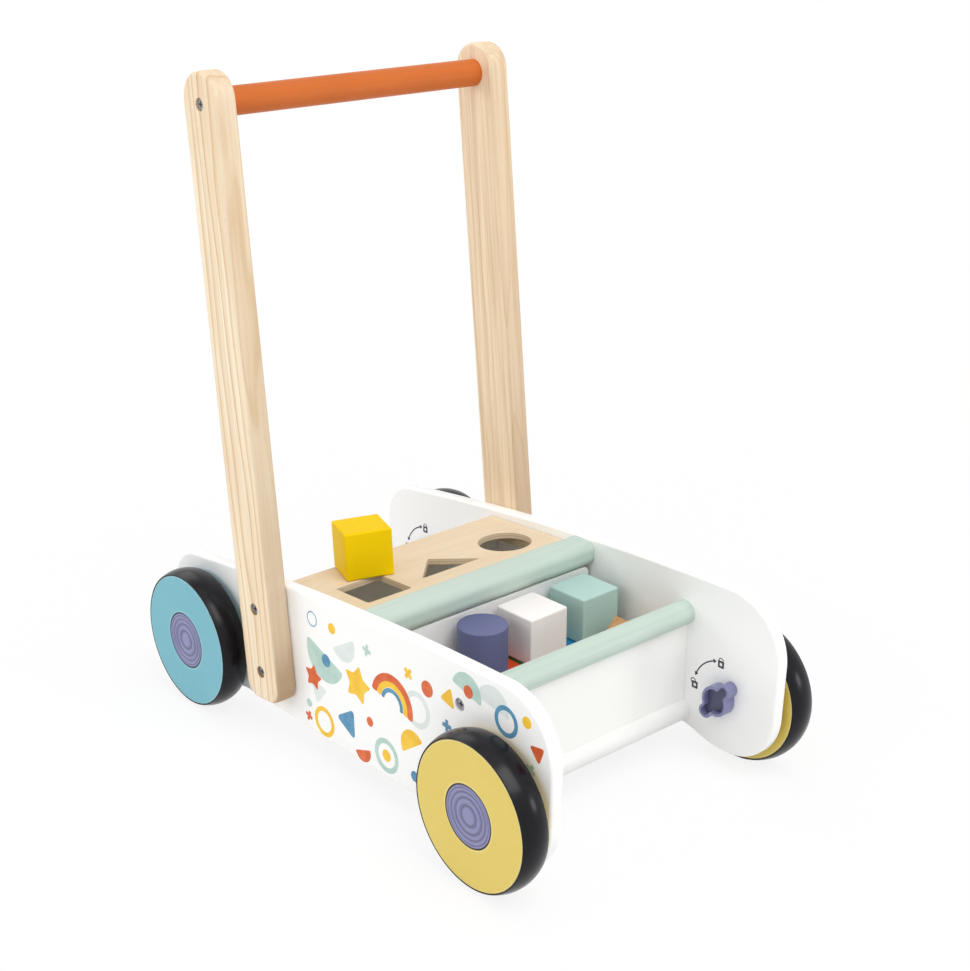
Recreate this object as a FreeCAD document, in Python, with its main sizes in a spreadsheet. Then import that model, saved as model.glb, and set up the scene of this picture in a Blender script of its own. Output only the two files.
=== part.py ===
import FreeCAD, Part
import math
import os
import re
import Sketcher

# A wooden baby walker: two side panels carry a block tray in front, a shape-sorter box behind it,
# four rubber-tyred wheels with brake knobs, and a push bar on two tilted posts.
# The walker stands on Z = 0, its front faces -Y and the child walks behind it, at +Y.
# Left and right are the child's: left is +X. Millimetres throughout.

# ---------------------------------------------------------------- driving sizes

SIZES = {
    # wheels and their axles
    "wheel_diameter": 120.0,
    "wheel_base": 366.0,
    "wheel_width": 23.5,
    "wheel_gap": 5.5,
    "tyre_band": 3.7,
    "tread_crown": 2.8,
    "tyre_edge_radius": 0.6,
    "tyre_bead_width": 7.0,
    "tyre_bead_depth": 1.5,
    "disc_edge_chamfer": 0.6,
    "cap_diameter": 47.8,
    "cap_recess_depth": 10.0,
    "cap_face_thickness": 4.5,
    "cap_skirt_thickness": 2.0,
    "cap_recess_gap": 0.5,
    "bush_diameter": 12.0,
    "flange_diameter": 20.0,
    "flange_thickness": 1.2,
    "bolt_diameter": 8.0,
    "bolt_head_diameter": 14.0,
    "bolt_head_height": 4.0,
    "running_gap": 0.05,
    "joint_gap": 0.3,
    # side panels
    "panel_span": 224.0,
    "panel_thickness": 11.0,
    "panel_front": 238.8,
    "panel_front_lean": 5.0,
    "panel_rear": 242.0,
    "panel_low": 22.0,
    "panel_front_top": 155.8,
    "panel_rear_top": 118.4,
    "panel_top_radius": 3250.0,
    "lobe_low": 13.2,
    "lobe_reach": 11.0,
    "lobe_run": 27.0,
    "lobe_blend_radius": 78.0,
    "lobe_corner_radius": 46.0,
    "front_top_radius": 50.0,
    "rear_top_radius": 36.0,
    "panel_edge_radius": 2.5,
    # posts and push bar
    "post_thickness": 18.4,
    "post_width": 45.2,
    "post_tilt": 5.4,
    "post_foot_back": 86.4,
    "post_foot_height": 63.9,
    "post_screw_pitch": 54.2,
    "post_rise": 449.5,
    "post_above": 23.8,
    "post_below": 25.1,
    "post_top_radius": 21.0,
    "post_foot_radius": 14.0,
    "post_edge_radius": 3.0,
    "push_bar_diameter": 22.0,
    # screws
    "screw_diameter": 5.0,
    "screw_head_diameter": 9.6,
    "screw_hole_gap": 0.2,
    "screw_sink": 1.4,
    "screw_head_height": 2.4,
    "screw_head_edge": 0.7,
    "post_screw_length": 50.0,
    "rod_screw_length": 38.0,
    "cross_recess_width": 1.2,
    "cross_recess_depth": 1.4,
    # sorter box
    "lid_thickness": 6.0,
    "lid_tilt": 3.72,
    "lid_behind_screw": 0.7,
    "lid_above_screw": 13.6,
    "lid_length": 100.0,
    "lid_side_gap": 0.3,
    "lid_edge_radius": 0.8,
    "square_hole_size": 43.2,
    "square_hole_side": 67.6,
    "square_hole_from_rear": 61.9,
    "square_hole_radius": 2.0,
    "round_hole_diameter": 45.4,
    "round_hole_side": 74.3,
    "round_hole_from_rear": 59.5,
    "triangle_hole_base": 62.2,
    "triangle_hole_side": 3.9,
    "triangle_hole_from_rear": 73.8,
    "rail_front": 37.0,
    "rail_height": 20.3,
    "rail_above_lid": 8.3,
    "rail_rear": 0.0,
    "rail_slope_start": 14.0,
    "rail_lap": 8.0,
    "rail_front_radius": 7.5,
    "rail_rear_radius": 12.0,
    "pin_diameter": 8.0,
    "pin_length": 26.0,
    "pin_in_panel": 6.0,
    "pin_pitch": 13.0,
    "pin_row_back": 23.0,
    "pin_row_below_top": 12.8,
    "floor_thickness": 6.0,
    "floor_height": 43.1,
    "dado_depth": 4.0,
    "board_gap": 0.1,
    "rear_wall_thickness": 14.0,
    "rear_wall_edge_radius": 1.5,
    "outlet_width": 150.0,
    "outlet_height": 42.4,
    "outlet_radius": 8.0,
    "cleat_size": 10.0,
    "lid_cleat_length": 76.0,
    "lid_cleat_from_rear": 15.0,
    "divider_thickness": 6.0,
    "divider_front": 33.0,
    "divider_side_gap": 1.8,
    "divider_top_gap": 1.0,
    "divider_corner_radius": 6.0,
    "divider_edge_radius": 1.0,
    "divider_cleat_length": 74.0,
    # front of the tray
    "rod_diameter": 20.0,
    "rod_forward": 140.5,
    "top_rod_height": 120.0,
    "low_rod_height": 34.5,
    "front_panel_thickness": 6.0,
    "rod_groove_depth": 4.0,
    # brake knobs
    "knob_height": 10.0,
    "knob_hub_diameter": 25.4,
    "knob_ear_diameter": 12.0,
    "knob_ear_distance": 14.8,
    "knob_wall": 2.3,
    "knob_cup_depth": 5.0,
    "knob_neck_radius": 2.5,
    "knob_cup_neck_radius": 1.2,
    "knob_rim_radius": 0.8,
    "knob_angle": 127.5,
    "nut_width": 13.0,
    "nut_height": 4.0,
    # toy blocks
    "block_size": 40.0,
    "block_edge_radius": 1.6,
    "block_gap": 0.15,
    "orange_from_left": 131.0,
    "green_from_left": 89.0,
    "blue_from_left": 47.5,
    "red_from_left": 30.0,
    "violet_from_left": 141.2,
    "white_from_left": 89.6,
    "mint_from_left": 32.3,
    "yellow_from_left": 161.0,
    "yellow_from_rear": 25.0,
    "turned_block_gap": 0.6,
    "roof_block_base": 51.0,
    "roof_block_length": 34.0,
}

doc = FreeCAD.newDocument("BabyWalker")
sheet = doc.addObject("Spreadsheet::Sheet", "Sizes")
for row, (alias, number) in enumerate(SIZES.items(), start=1):
    sheet.set(f"A{row}", alias)
    sheet.set(f"B{row}", str(number))
    sheet.setAlias(f"B{row}", alias)
doc.recompute()

# Places that several pieces share, each worked out from the sheet.
AXLE_BACK = "(wheel_base / 2)"
AXLE_HEIGHT = "(wheel_diameter / 2)"
DISC_RIM = "(wheel_diameter / 2 - tyre_band)"
PANEL_INSIDE = "(panel_span / 2)"
PANEL_OUTSIDE = "(panel_span / 2 + panel_thickness)"
POST_OUTSIDE = "(panel_span / 2 + panel_thickness + post_thickness)"
WHEEL_INSIDE = "(panel_span / 2 + panel_thickness + wheel_gap)"
SECOND_SCREW_BACK = "(post_foot_back + post_screw_pitch * sin(post_tilt))"
SECOND_SCREW_HEIGHT = "(post_foot_height + post_screw_pitch * cos(post_tilt))"
BAR_BACK = "(post_foot_back + post_rise * sin(post_tilt))"
BAR_HEIGHT = "(post_foot_height + post_rise * cos(post_tilt))"
BOLT_HOLE = "(bolt_diameter / 2 + screw_hole_gap)"
SCREW_HOLE = "(screw_diameter / 2 + screw_hole_gap)"
SCREW_CORE = "(screw_diameter / 2 + running_gap)"
CAP_SEAT = "(wheel_width - cap_recess_depth)"
LID_REAR_BACK = f"({SECOND_SCREW_BACK} + lid_behind_screw)"
LID_REAR_HEIGHT = f"({SECOND_SCREW_HEIGHT} + lid_above_screw)"
REAR_WALL_TOP = f"({LID_REAR_HEIGHT} - lid_thickness / cos(lid_tilt) - board_gap)"


def lid_top(back):
    """Height of the lid's top face at a distance behind the middle of the wheelbase."""
    return f"({LID_REAR_HEIGHT} + ({LID_REAR_BACK} - ({back})) * tan(lid_tilt))"


RAIL_TOP = f"({lid_top('-rail_rear')} + rail_above_lid)"
RAIL_LOW = f"({RAIL_TOP} - rail_height)"
PIN_ROW_HEIGHT = f"({RAIL_TOP} - pin_row_below_top)"
DIVIDER_TOP = f"({RAIL_LOW} - divider_top_gap)"
DIVIDER_REAR = "(divider_front - divider_thickness)"
LOWER_BLOCK_BASE = "(floor_height + block_gap)"
UPPER_BLOCK_BASE = "(floor_height + 2 * block_gap + block_size)"

SIDES = {"left": 1, "right": -1}
ENDS = {"front": -1, "rear": 1}
FULL_TURN = 360


# ---------------------------------------------------------------- helpers

def on_sheet(formula):
    """A formula of plain size names, written so that it reads them from the sheet."""
    return re.sub(r"[a-z]+(?:_[a-z]+)+", lambda name: f"Sizes.{name.group()}", str(formula))


def bind(thing, prop, formula):
    thing.setExpression(prop, on_sheet(formula))


def place(thing, x=0, y=0, z=0, axis=(0, 0, 1), angle=0):
    """Set a thing's placement from formulas; the turn is about the given axis, in degrees."""
    thing.Placement = FreeCAD.Placement(FreeCAD.Vector(), FreeCAD.Rotation(FreeCAD.Vector(*axis), 1))
    bind(thing, "Placement.Base.x", x)
    bind(thing, "Placement.Base.y", y)
    bind(thing, "Placement.Base.z", z)
    bind(thing, "Placement.Rotation.Angle", angle)


def new_body(label):
    body = doc.addObject("PartDesign::Body", label)
    body.Label = label
    return body


def new_sketch(body, name, plane, offset=0):
    """A sketch on one of the body's origin planes, lifted along the plane's normal by a formula."""
    sketch = body.newObject("Sketcher::SketchObject", f"{body.Name}_{name}")
    origin_plane = next(item for item in body.Origin.OriginFeatures if item.Role == plane)
    sketch.AttachmentSupport = [(origin_plane, "")]
    sketch.MapMode = "FlatFace"
    bind(sketch, "AttachmentOffset.Base.z", offset)
    return sketch


def turn(sketch, angle):
    """Turn a sketch in its own plane by a formula, in degrees."""
    sketch.AttachmentOffset = FreeCAD.Placement(FreeCAD.Vector(), FreeCAD.Rotation(FreeCAD.Vector(0, 0, 1), 1))
    bind(sketch, "AttachmentOffset.Rotation.Angle", angle)


def fix_point(sketch, edge, end, u, v):
    """Hold one end, or the centre (3), of a sketch edge at two formulas from the origin."""
    start = sketch.getPoint(edge, end)
    for direction, formula, value in (("DistanceX", u, start.x), ("DistanceY", v, start.y)):
        number = sketch.addConstraint(Sketcher.Constraint(direction, -1, 1, edge, end, value))
        bind(sketch, f"Constraints[{number}]", formula)


def draw_polygon(sketch, corners):
    """A closed outline through corners given as pairs of formulas, anticlockwise."""
    first = len(sketch.Geometry)
    count = len(corners)
    turns = [2 * math.pi * (k + 0.1) / count for k in range(count)]
    ring = [FreeCAD.Vector(10 * math.cos(turn), 10 * math.sin(turn), 0) for turn in turns]
    for k in range(count):
        sketch.addGeometry(Part.LineSegment(ring[k], ring[(k + 1) % count]), False)
    for k in range(count):
        sketch.addConstraint(Sketcher.Constraint("Coincident", first + k, 2, first + (k + 1) % count, 1))
    for k, (u, v) in enumerate(corners):
        fix_point(sketch, first + k, 1, u, v)


def bow_edge(sketch, edge, radius):
    """Replace one straight edge of a polygon with a shallow outward arc, its radius a formula."""
    doc.recompute()
    start = sketch.getPoint(edge, 1)
    end = sketch.getPoint(edge, 2)
    along = end - start
    outward = FreeCAD.Vector(along.y, -along.x, 0).normalize()
    middle = (start + end) / 2 + outward * (0.02 * along.Length)
    arc = sketch.addGeometry(Part.Arc(start, middle, end), False)
    sketch.toggleConstruction(edge)
    sketch.addConstraint(Sketcher.Constraint("Coincident", arc, 1, edge, 1))
    sketch.addConstraint(Sketcher.Constraint("Coincident", arc, 2, edge, 2))
    number = sketch.addConstraint(Sketcher.Constraint("Radius", arc, sketch.Geometry[arc].Radius))
    bind(sketch, f"Constraints[{number}]", radius)


def draw_box(sketch, low_u, low_v, high_u, high_v):
    draw_polygon(sketch, [(low_u, low_v), (high_u, low_v), (high_u, high_v), (low_u, high_v)])


def draw_circle(sketch, u, v, radius):
    circle = Part.Circle(FreeCAD.Vector(10, 10, 0), FreeCAD.Vector(0, 0, 1), 1.0)
    edge = sketch.addGeometry(circle, False)
    number = sketch.addConstraint(Sketcher.Constraint("Radius", edge, 1.0))
    bind(sketch, f"Constraints[{number}]", radius)
    fix_point(sketch, edge, 3, u, v)


def pad(body, sketch, length, reverse=False, midplane=False):
    feature = body.newObject("PartDesign::Pad", f"{sketch.Name}_pad")
    feature.Profile = sketch
    feature.Midplane = midplane
    feature.Reversed = reverse
    bind(feature, "Length", length)
    doc.recompute()
    return feature


def pocket(body, sketch, depth=None, reverse=False):
    """Cut a sketch out of the body, to a depth, or through all of it both ways."""
    before = body.Tip.Shape.Volume
    feature = body.newObject("PartDesign::Pocket", f"{sketch.Name}_pocket")
    feature.Profile = sketch
    if depth is None:
        feature.Type = "ThroughAll"
        feature.Midplane = True
    else:
        feature.Reversed = reverse
        bind(feature, "Length", depth)
    doc.recompute()
    if feature.Shape.Volume >= before:
        raise RuntimeError(f"{feature.Name} cuts nothing")
    return feature


def turned(body, sketch, cut=False):
    """Turn a sketch round its own horizontal axis, as a solid or as a groove."""
    kind = "Groove" if cut else "Revolution"
    feature = body.newObject(f"PartDesign::{kind}", f"{sketch.Name}_turned")
    feature.Profile = sketch
    feature.ReferenceAxis = (sketch, ["H_Axis"])
    feature.Angle = FULL_TURN
    doc.recompute()
    return feature


def counterbored_holes(body, sketch, reverse=False):
    """Screw holes through the body at a sketch's circles, counterbored so that the heads sit deep."""
    doc.recompute()
    hole = body.newObject("PartDesign::Hole", f"{sketch.Name}_hole")
    hole.Profile = sketch
    doc.recompute()
    hole.DepthType = "ThroughAll"
    hole.HoleCutType = "Counterbore"
    hole.Reversed = reverse
    bind(hole, "Diameter", f"2 * {SCREW_HOLE}")
    bind(hole, "HoleCutDiameter", "screw_head_diameter + 2 * screw_hole_gap")
    bind(hole, "HoleCutDepth", "screw_sink + screw_head_height")
    doc.recompute()
    return hole


def soften(body, name, radius, wanted):
    """Fillet the body's edges that a test picks."""
    base = body.Tip
    names = [f"Edge{k}" for k, edge in enumerate(base.Shape.Edges, start=1) if wanted(edge)]
    if not names:
        raise RuntimeError(f"{body.Name} {name}: no edge to soften")
    feature = body.newObject("PartDesign::Fillet", f"{body.Name}_{name}")
    feature.Base = (base, names)
    bind(feature, "Radius", radius)
    doc.recompute()
    return feature


def runs_along(edge, axis):
    """Whether an edge is a straight line along X, Y or Z."""
    if edge.Curve.TypeId != "Part::GeomLine":
        return False
    return abs(abs(edge.Curve.Direction[axis]) - 1) < 1e-6


def corner_edge(sketch, corner, axis=0):
    """A test for the straight edge that a sketch corner makes when it is padded along an axis."""
    point = sketch.Placement.multVec(sketch.Geometry[corner].StartPoint)

    def wanted(edge):
        if not runs_along(edge, axis):
            return False
        middle = edge.CenterOfMass
        return all(abs(middle[k] - point[k]) < 0.01 for k in range(3) if k != axis)
    return wanted


def rim_edges(shape, axis=0):
    """A test for the edges that lie in a padded shape's two end faces."""
    box = shape.BoundBox
    ends = ((box.XMin, box.XMax), (box.YMin, box.YMax), (box.ZMin, box.ZMax))[axis]

    def wanted(edge):
        points = [vertex.Point[axis] for vertex in edge.Vertexes] + [edge.CenterOfMass[axis]]
        return any(all(abs(value - end) < 0.01 for value in points) for end in ends)
    return wanted


def group(label, pattern, places):
    """One node that holds a copy of a pattern piece at each place."""
    links = []
    for number, spot in enumerate(places):
        link = doc.addObject("App::Link", f"{label}_{number}")
        link.LinkedObject = pattern
        place(link, **spot)
        links.append(link)
    compound = doc.addObject("Part::Compound", label)
    compound.Label = label
    compound.Links = links
    doc.recompute()
    return compound


def facing(side):
    """The turn about Z that makes a piece drawn for the left side (+X) face its own side."""
    return {"axis": (0, 0, 1), "angle": 0 if side > 0 else 180}


# ---------------------------------------------------------------- wheels

def make_disc(label):
    """The painted wooden wheel: a bush bore, a recess for the cap and a groove for the tyre's bead."""
    body = new_body(label)
    section = new_sketch(body, "section", "XY_Plane")
    groove = f"({DISC_RIM} - tyre_bead_depth - running_gap)"
    bead_low = "(wheel_width / 2 - tyre_bead_width / 2 - running_gap)"
    bead_high = "(wheel_width / 2 + tyre_bead_width / 2 + running_gap)"
    recess = "(cap_diameter / 2 + cap_recess_gap)"
    draw_polygon(section, [
        ("flange_thickness + running_gap", "bush_diameter / 2 + running_gap"),
        (CAP_SEAT, "bush_diameter / 2 + running_gap"),
        (CAP_SEAT, recess),
        ("wheel_width", recess),
        ("wheel_width", f"{DISC_RIM} - disc_edge_chamfer"),
        ("wheel_width - disc_edge_chamfer", DISC_RIM),
        (bead_high, DISC_RIM),
        (bead_high, groove),
        (bead_low, groove),
        (bead_low, DISC_RIM),
        ("disc_edge_chamfer", DISC_RIM),
        ("0", f"{DISC_RIM} - disc_edge_chamfer"),
        ("0", "flange_diameter / 2 + running_gap"),
        ("flange_thickness + running_gap", "flange_diameter / 2 + running_gap"),
    ])
    turned(body, section)
    return body


def make_tyre(label):
    """The rubber ring on the wheel, with a bead inside and a crowned tread."""
    body = new_body(label)
    section = new_sketch(body, "section", "XY_Plane")
    inside = f"({DISC_RIM} + running_gap)"
    bead = f"({inside} - tyre_bead_depth)"
    bead_low = "(wheel_width / 2 - tyre_bead_width / 2)"
    bead_high = "(wheel_width / 2 + tyre_bead_width / 2)"
    shoulder = "(wheel_diameter / 2 - tread_crown)"
    draw_polygon(section, [
        ("0", inside),
        (bead_low, inside),
        (bead_low, bead),
        (bead_high, bead),
        (bead_high, inside),
        ("wheel_width", inside),
        ("wheel_width", shoulder),
        ("0", shoulder),
    ])
    bow_edge(section, 6, "((wheel_width * wheel_width / 4 + tread_crown * tread_crown) / (2 * tread_crown))")
    turned(body, section)
    shoulder_radius = SIZES["wheel_diameter"] / 2 - SIZES["tread_crown"]

    def on_shoulder(edge):
        return hasattr(edge.Curve, "Radius") and abs(edge.Curve.Radius - shoulder_radius) < 0.01
    soften(body, "shoulders", "tyre_edge_radius", on_shoulder)
    return body


def make_bush(label):
    """The flanged plastic bush that the wheel turns on."""
    body = new_body(label)
    section = new_sketch(body, "section", "XY_Plane")
    draw_polygon(section, [
        ("0", "bolt_diameter / 2 + running_gap"),
        (CAP_SEAT, "bolt_diameter / 2 + running_gap"),
        (CAP_SEAT, "bush_diameter / 2"),
        ("flange_thickness", "bush_diameter / 2"),
        ("flange_thickness", "flange_diameter / 2"),
        ("0", "flange_diameter / 2"),
    ])
    turned(body, section)
    return body


def make_cap(label):
    """The hub cap: a shallow cup that stands on the recess floor, with turned rings on its face."""
    body = new_body(label)
    section = new_sketch(body, "section", "XY_Plane")
    edge = "(cap_diameter / 2)"
    draw_polygon(section, [
        ("wheel_width - cap_face_thickness", "0"),
        ("wheel_width", "0"),
        ("wheel_width", edge),
        (CAP_SEAT, edge),
        (CAP_SEAT, f"{edge} - cap_skirt_thickness"),
        ("wheel_width - cap_face_thickness", f"{edge} - cap_skirt_thickness"),
    ])
    turned(body, section)
    # Each ring is a round-bottomed groove: its place and width as shares of the cap, and its depth.
    rings = [(0.90, 0.02, 0.5), (0.76, 0.06, 0.6), (0.58, 0.08, 0.8), (0.33, 0.09, 0.9)]
    for number, (share, half_width, depth) in enumerate(rings):
        half = f"({half_width} * cap_diameter / 2)"
        cutter = f"(({half} * {half} + {depth} * {depth}) / (2 * {depth}))"
        ring = new_sketch(body, f"ring{number}", "XY_Plane")
        draw_circle(ring, f"wheel_width + {cutter} - {depth}", f"{share} * {edge}", cutter)
        turned(body, ring, cut=True)
    rim_radius = SIZES["cap_diameter"] / 2

    def on_rim(item):
        round_edge = hasattr(item.Curve, "Radius") and abs(item.Curve.Radius - rim_radius) < 0.01
        return round_edge and abs(item.CenterOfMass.x - SIZES["wheel_width"]) < 0.01
    soften(body, "rim", "cap_recess_gap", on_rim)
    return body


# ---------------------------------------------------------------- axle bolt, spacer, brake knob

def make_axle_bolt():
    """Pattern of the axle bolt, from its end in the knob's nut to its head under the hub cap."""
    body = new_body("axle_bolt_pattern")
    section = new_sketch(body, "section", "XY_Plane")
    head = f"(panel_thickness + wheel_gap + {CAP_SEAT} + joint_gap)"
    shank = "(bolt_diameter / 2)"
    draw_polygon(section, [
        ("-joint_gap - nut_height", "0"),
        (f"{head} + bolt_head_height", "0"),
        (f"{head} + bolt_head_height", "bolt_head_diameter / 2"),
        (head, "bolt_head_diameter / 2"),
        (head, shank),
        ("-joint_gap - nut_height", shank),
    ])
    turned(body, section)
    soften(body, "head_edge", "bolt_head_height / 3",
           lambda edge: edge.CenterOfMass.x > body.Tip.Shape.BoundBox.XMax - 0.01)
    return body


def make_spacer():
    """Pattern of the spacer ring that keeps a wheel off its panel."""
    body = new_body("spacer_pattern")
    section = new_sketch(body, "section", "XY_Plane")
    draw_box(section, "0", "bolt_diameter / 2 + screw_hole_gap",
             "wheel_gap - joint_gap", "flange_diameter / 2")
    turned(body, section)
    return body


def draw_knob_ears(sketch, side, radius):
    """The two ear circles, on a line turned up from +Y by the knob's angle on either side."""
    for way in (1, -1):
        draw_circle(sketch, f"{way * side} * knob_ear_distance * cos(knob_angle)",
                    f"{way} * knob_ear_distance * sin(knob_angle)", radius)


def make_knob(label, side):
    """The brake knob: a round cup with two rounded ears, and a pocket for its nut underneath."""
    body = new_body(label)
    base = "-joint_gap"
    mouth = "(-joint_gap - knob_height)"
    hub = new_sketch(body, "hub", "YZ_Plane", base)
    draw_circle(hub, "0", "0", "knob_hub_diameter / 2")
    pad(body, hub, "knob_height", reverse=True)
    ears = new_sketch(body, "ears", "YZ_Plane", base)
    draw_knob_ears(ears, side, "knob_ear_diameter / 2")
    pad(body, ears, "knob_height", reverse=True)
    ear_centres = [FreeCAD.Vector(0, *sketch_circle.Center[:2]) for sketch_circle in ears.Geometry]

    def is_neck(edge):
        if not runs_along(edge, 0):
            return False
        point = FreeCAD.Vector(0, edge.CenterOfMass.y, edge.CenterOfMass.z)
        to_ear = min((point - centre).Length for centre in ear_centres)
        on_hub = abs(point.Length - SIZES["knob_hub_diameter"] / 2) < 0.01
        return on_hub and abs(to_ear - SIZES["knob_ear_diameter"] / 2) < 0.01
    soften(body, "necks", "knob_neck_radius", is_neck)
    mouth_x = -SIZES["joint_gap"] - SIZES["knob_height"]

    def on_mouth(edge):
        return all(abs(vertex.Point[0] - mouth_x) < 0.01 for vertex in edge.Vertexes)
    soften(body, "rim", "knob_rim_radius", on_mouth)
    hub_cup = new_sketch(body, "hub_cup", "YZ_Plane", mouth)
    draw_circle(hub_cup, "0", "0", "knob_hub_diameter / 2 - knob_wall")
    pocket(body, hub_cup, "knob_cup_depth", reverse=True)
    ear_cups = new_sketch(body, "ear_cups", "YZ_Plane", mouth)
    draw_knob_ears(ear_cups, side, "knob_ear_diameter / 2 - knob_wall")
    pocket(body, ear_cups, "knob_cup_depth", reverse=True)
    channel = new_sketch(body, "channel", "YZ_Plane", mouth)
    turn(channel, f"90 + {side} * (knob_angle - 90)")
    cup = "(knob_ear_diameter / 2 - knob_wall)"
    draw_box(channel, "-knob_ear_distance", f"-{cup}", "knob_ear_distance", cup)
    pocket(body, channel, "knob_cup_depth", reverse=True)
    cup_radius = SIZES["knob_hub_diameter"] / 2 - SIZES["knob_wall"]

    def in_cup(edge):
        return runs_along(edge, 0) and abs(math.hypot(*edge.CenterOfMass[1:]) - cup_radius) < 0.01
    soften(body, "cup_necks", "knob_cup_neck_radius", in_cup)
    nut_pocket = new_sketch(body, "nut_pocket", "YZ_Plane", base)
    draw_hexagon(nut_pocket, "(nut_width / 2 + running_gap)")
    pocket(body, nut_pocket, "nut_height + screw_hole_gap")
    return body


def draw_hexagon(sketch, half_width):
    """A hexagon round the origin, its half width across the flats a formula."""
    corners = [(f"{half_width} / cos(30) * cos({60 * k})", f"{half_width} / cos(30) * sin({60 * k})")
               for k in range(6)]
    draw_polygon(sketch, corners)


def make_nut(label, _):
    """The captive nut that draws the axle bolt in as the knob turns."""
    body = new_body(label)
    outline = new_sketch(body, "outline", "YZ_Plane", "-joint_gap")
    draw_hexagon(outline, "(nut_width / 2)")
    draw_circle(outline, "0", "0", "bolt_diameter / 2 + running_gap")
    pad(body, outline, "nut_height", reverse=True)
    return body


# ---------------------------------------------------------------- screws

def make_screw(name, length):
    """Pattern of a round-headed wood screw, its head sunk below X = 0 and its point towards -X."""
    body = new_body(name)
    section = new_sketch(body, "section", "XY_Plane")
    shank = "(screw_diameter / 2)"
    head = "(screw_head_diameter / 2)"
    seat = "(screw_sink + screw_head_height)"
    draw_polygon(section, [
        (f"-{length}", "0"),
        ("-screw_sink", "0"),
        ("-screw_sink", f"{head} - screw_head_edge"),
        ("-screw_sink - screw_head_edge", head),
        (f"-{seat}", head),
        (f"-{seat}", shank),
        (f"-{length} + 2 * screw_diameter", shank),
    ])
    turned(body, section)
    for number, (wide, tall) in enumerate(((1, 0), (0, 1))):
        slot = new_sketch(body, f"slot{number}", "YZ_Plane", "-screw_sink")
        half_wide = "screw_head_diameter / 4" if wide else "cross_recess_width / 2"
        half_tall = "screw_head_diameter / 4" if tall else "cross_recess_width / 2"
        draw_box(slot, f"-{half_wide}", f"-{half_tall}", half_wide, half_tall)
        pocket(body, slot, "cross_recess_depth")
    return body


# ---------------------------------------------------------------- side panels and posts

def draw_panel_outline(sketch):
    """The panel seen from the side: front at -Y, wheel lobes below, a nearly straight crowned top."""
    lobe = f"({AXLE_BACK} - lobe_reach)"
    draw_polygon(sketch, [
        ("-panel_front + panel_front_lean", "lobe_low"),
        (f"-{lobe}", "lobe_low"),
        (f"-({lobe} - lobe_run)", "panel_low"),
        (f"{lobe} - lobe_run", "panel_low"),
        (lobe, "lobe_low"),
        ("panel_rear", "lobe_low"),
        ("panel_rear", "panel_rear_top"),
        ("-panel_front", "panel_front_top"),
    ])


def make_side_panel(label, side):
    """A side panel, inner face at X = 0, with its holes and the groove that holds the floor board."""
    body = new_body(label)
    outward = side > 0
    outline = new_sketch(body, "outline", "YZ_Plane")
    draw_panel_outline(outline)
    bow_edge(outline, 6, "panel_top_radius")
    pad(body, outline, "panel_thickness", reverse=not outward)
    low_corners = [corner_edge(outline, corner) for corner in (0, 5)]
    blends = [corner_edge(outline, corner) for corner in (1, 2, 3, 4)]
    soften(body, "low_corners", "lobe_corner_radius", lambda edge: any(test(edge) for test in low_corners))
    soften(body, "blends", "lobe_blend_radius", lambda edge: any(test(edge) for test in blends))
    soften(body, "front_corner", "front_top_radius", corner_edge(outline, 7))
    soften(body, "rear_corner", "rear_top_radius", corner_edge(outline, 6))
    soften(body, "edges", "panel_edge_radius", rim_edges(body.Tip.Shape))

    through = new_sketch(body, "through_holes", "YZ_Plane")
    for end in ENDS.values():
        draw_circle(through, f"{end} * {AXLE_BACK}", AXLE_HEIGHT, BOLT_HOLE)
    draw_circle(through, "post_foot_back", "post_foot_height", SCREW_HOLE)
    draw_circle(through, SECOND_SCREW_BACK, SECOND_SCREW_HEIGHT, SCREW_HOLE)
    pocket(body, through)

    rods = new_sketch(body, "rod_screws", "YZ_Plane", f"{side} * panel_thickness")
    for height in ("top_rod_height", "low_rod_height"):
        draw_circle(rods, "-rod_forward", height, SCREW_HOLE)
    counterbored_holes(body, rods, reverse=not outward)

    groove = new_sketch(body, "floor_groove", "YZ_Plane")
    draw_box(groove, f"-({FLOOR_FRONT}) - board_gap", "floor_height - floor_thickness - board_gap",
             f"{FLOOR_REAR} + board_gap", "floor_height + board_gap")
    pocket(body, groove, "dado_depth", reverse=outward)

    pins = new_sketch(body, "pin_holes", "YZ_Plane")
    for sign in (-1, 1):
        draw_circle(pins, f"-pin_row_back + {sign} * pin_pitch / 2", PIN_ROW_HEIGHT,
                    "pin_diameter / 2 + running_gap")
    pocket(body, pins, "pin_in_panel", reverse=outward)
    place(body, x=f"{side} * {PANEL_INSIDE}")
    return body


def make_post(label, side):
    """A pine post on the outside of a panel, drawn upright from its lower screw and tilted back."""
    body = new_body(label)
    outward = side > 0
    outline = new_sketch(body, "outline", "YZ_Plane")
    draw_box(outline, "-post_width / 2", "-post_below", "post_width / 2", "post_rise + post_above")
    pad(body, outline, "post_thickness", reverse=not outward)
    foot = [corner_edge(outline, corner) for corner in (0, 1)]
    head = [corner_edge(outline, corner) for corner in (2, 3)]
    soften(body, "foot_corners", "post_foot_radius", lambda edge: any(test(edge) for test in foot))
    soften(body, "head_corners", "post_top_radius", lambda edge: any(test(edge) for test in head))
    soften(body, "edges", "post_edge_radius", rim_edges(body.Tip.Shape))
    screws = new_sketch(body, "screws", "YZ_Plane", f"{side} * post_thickness")
    for rise in ("0", "post_screw_pitch", "post_rise"):
        draw_circle(screws, "0", rise, SCREW_HOLE)
    counterbored_holes(body, screws, reverse=not outward)
    place(body, f"{side} * {PANEL_OUTSIDE}", "post_foot_back", "post_foot_height", (-1, 0, 0), "post_tilt")
    return body


# ---------------------------------------------------------------- cross pieces between the panels

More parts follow.
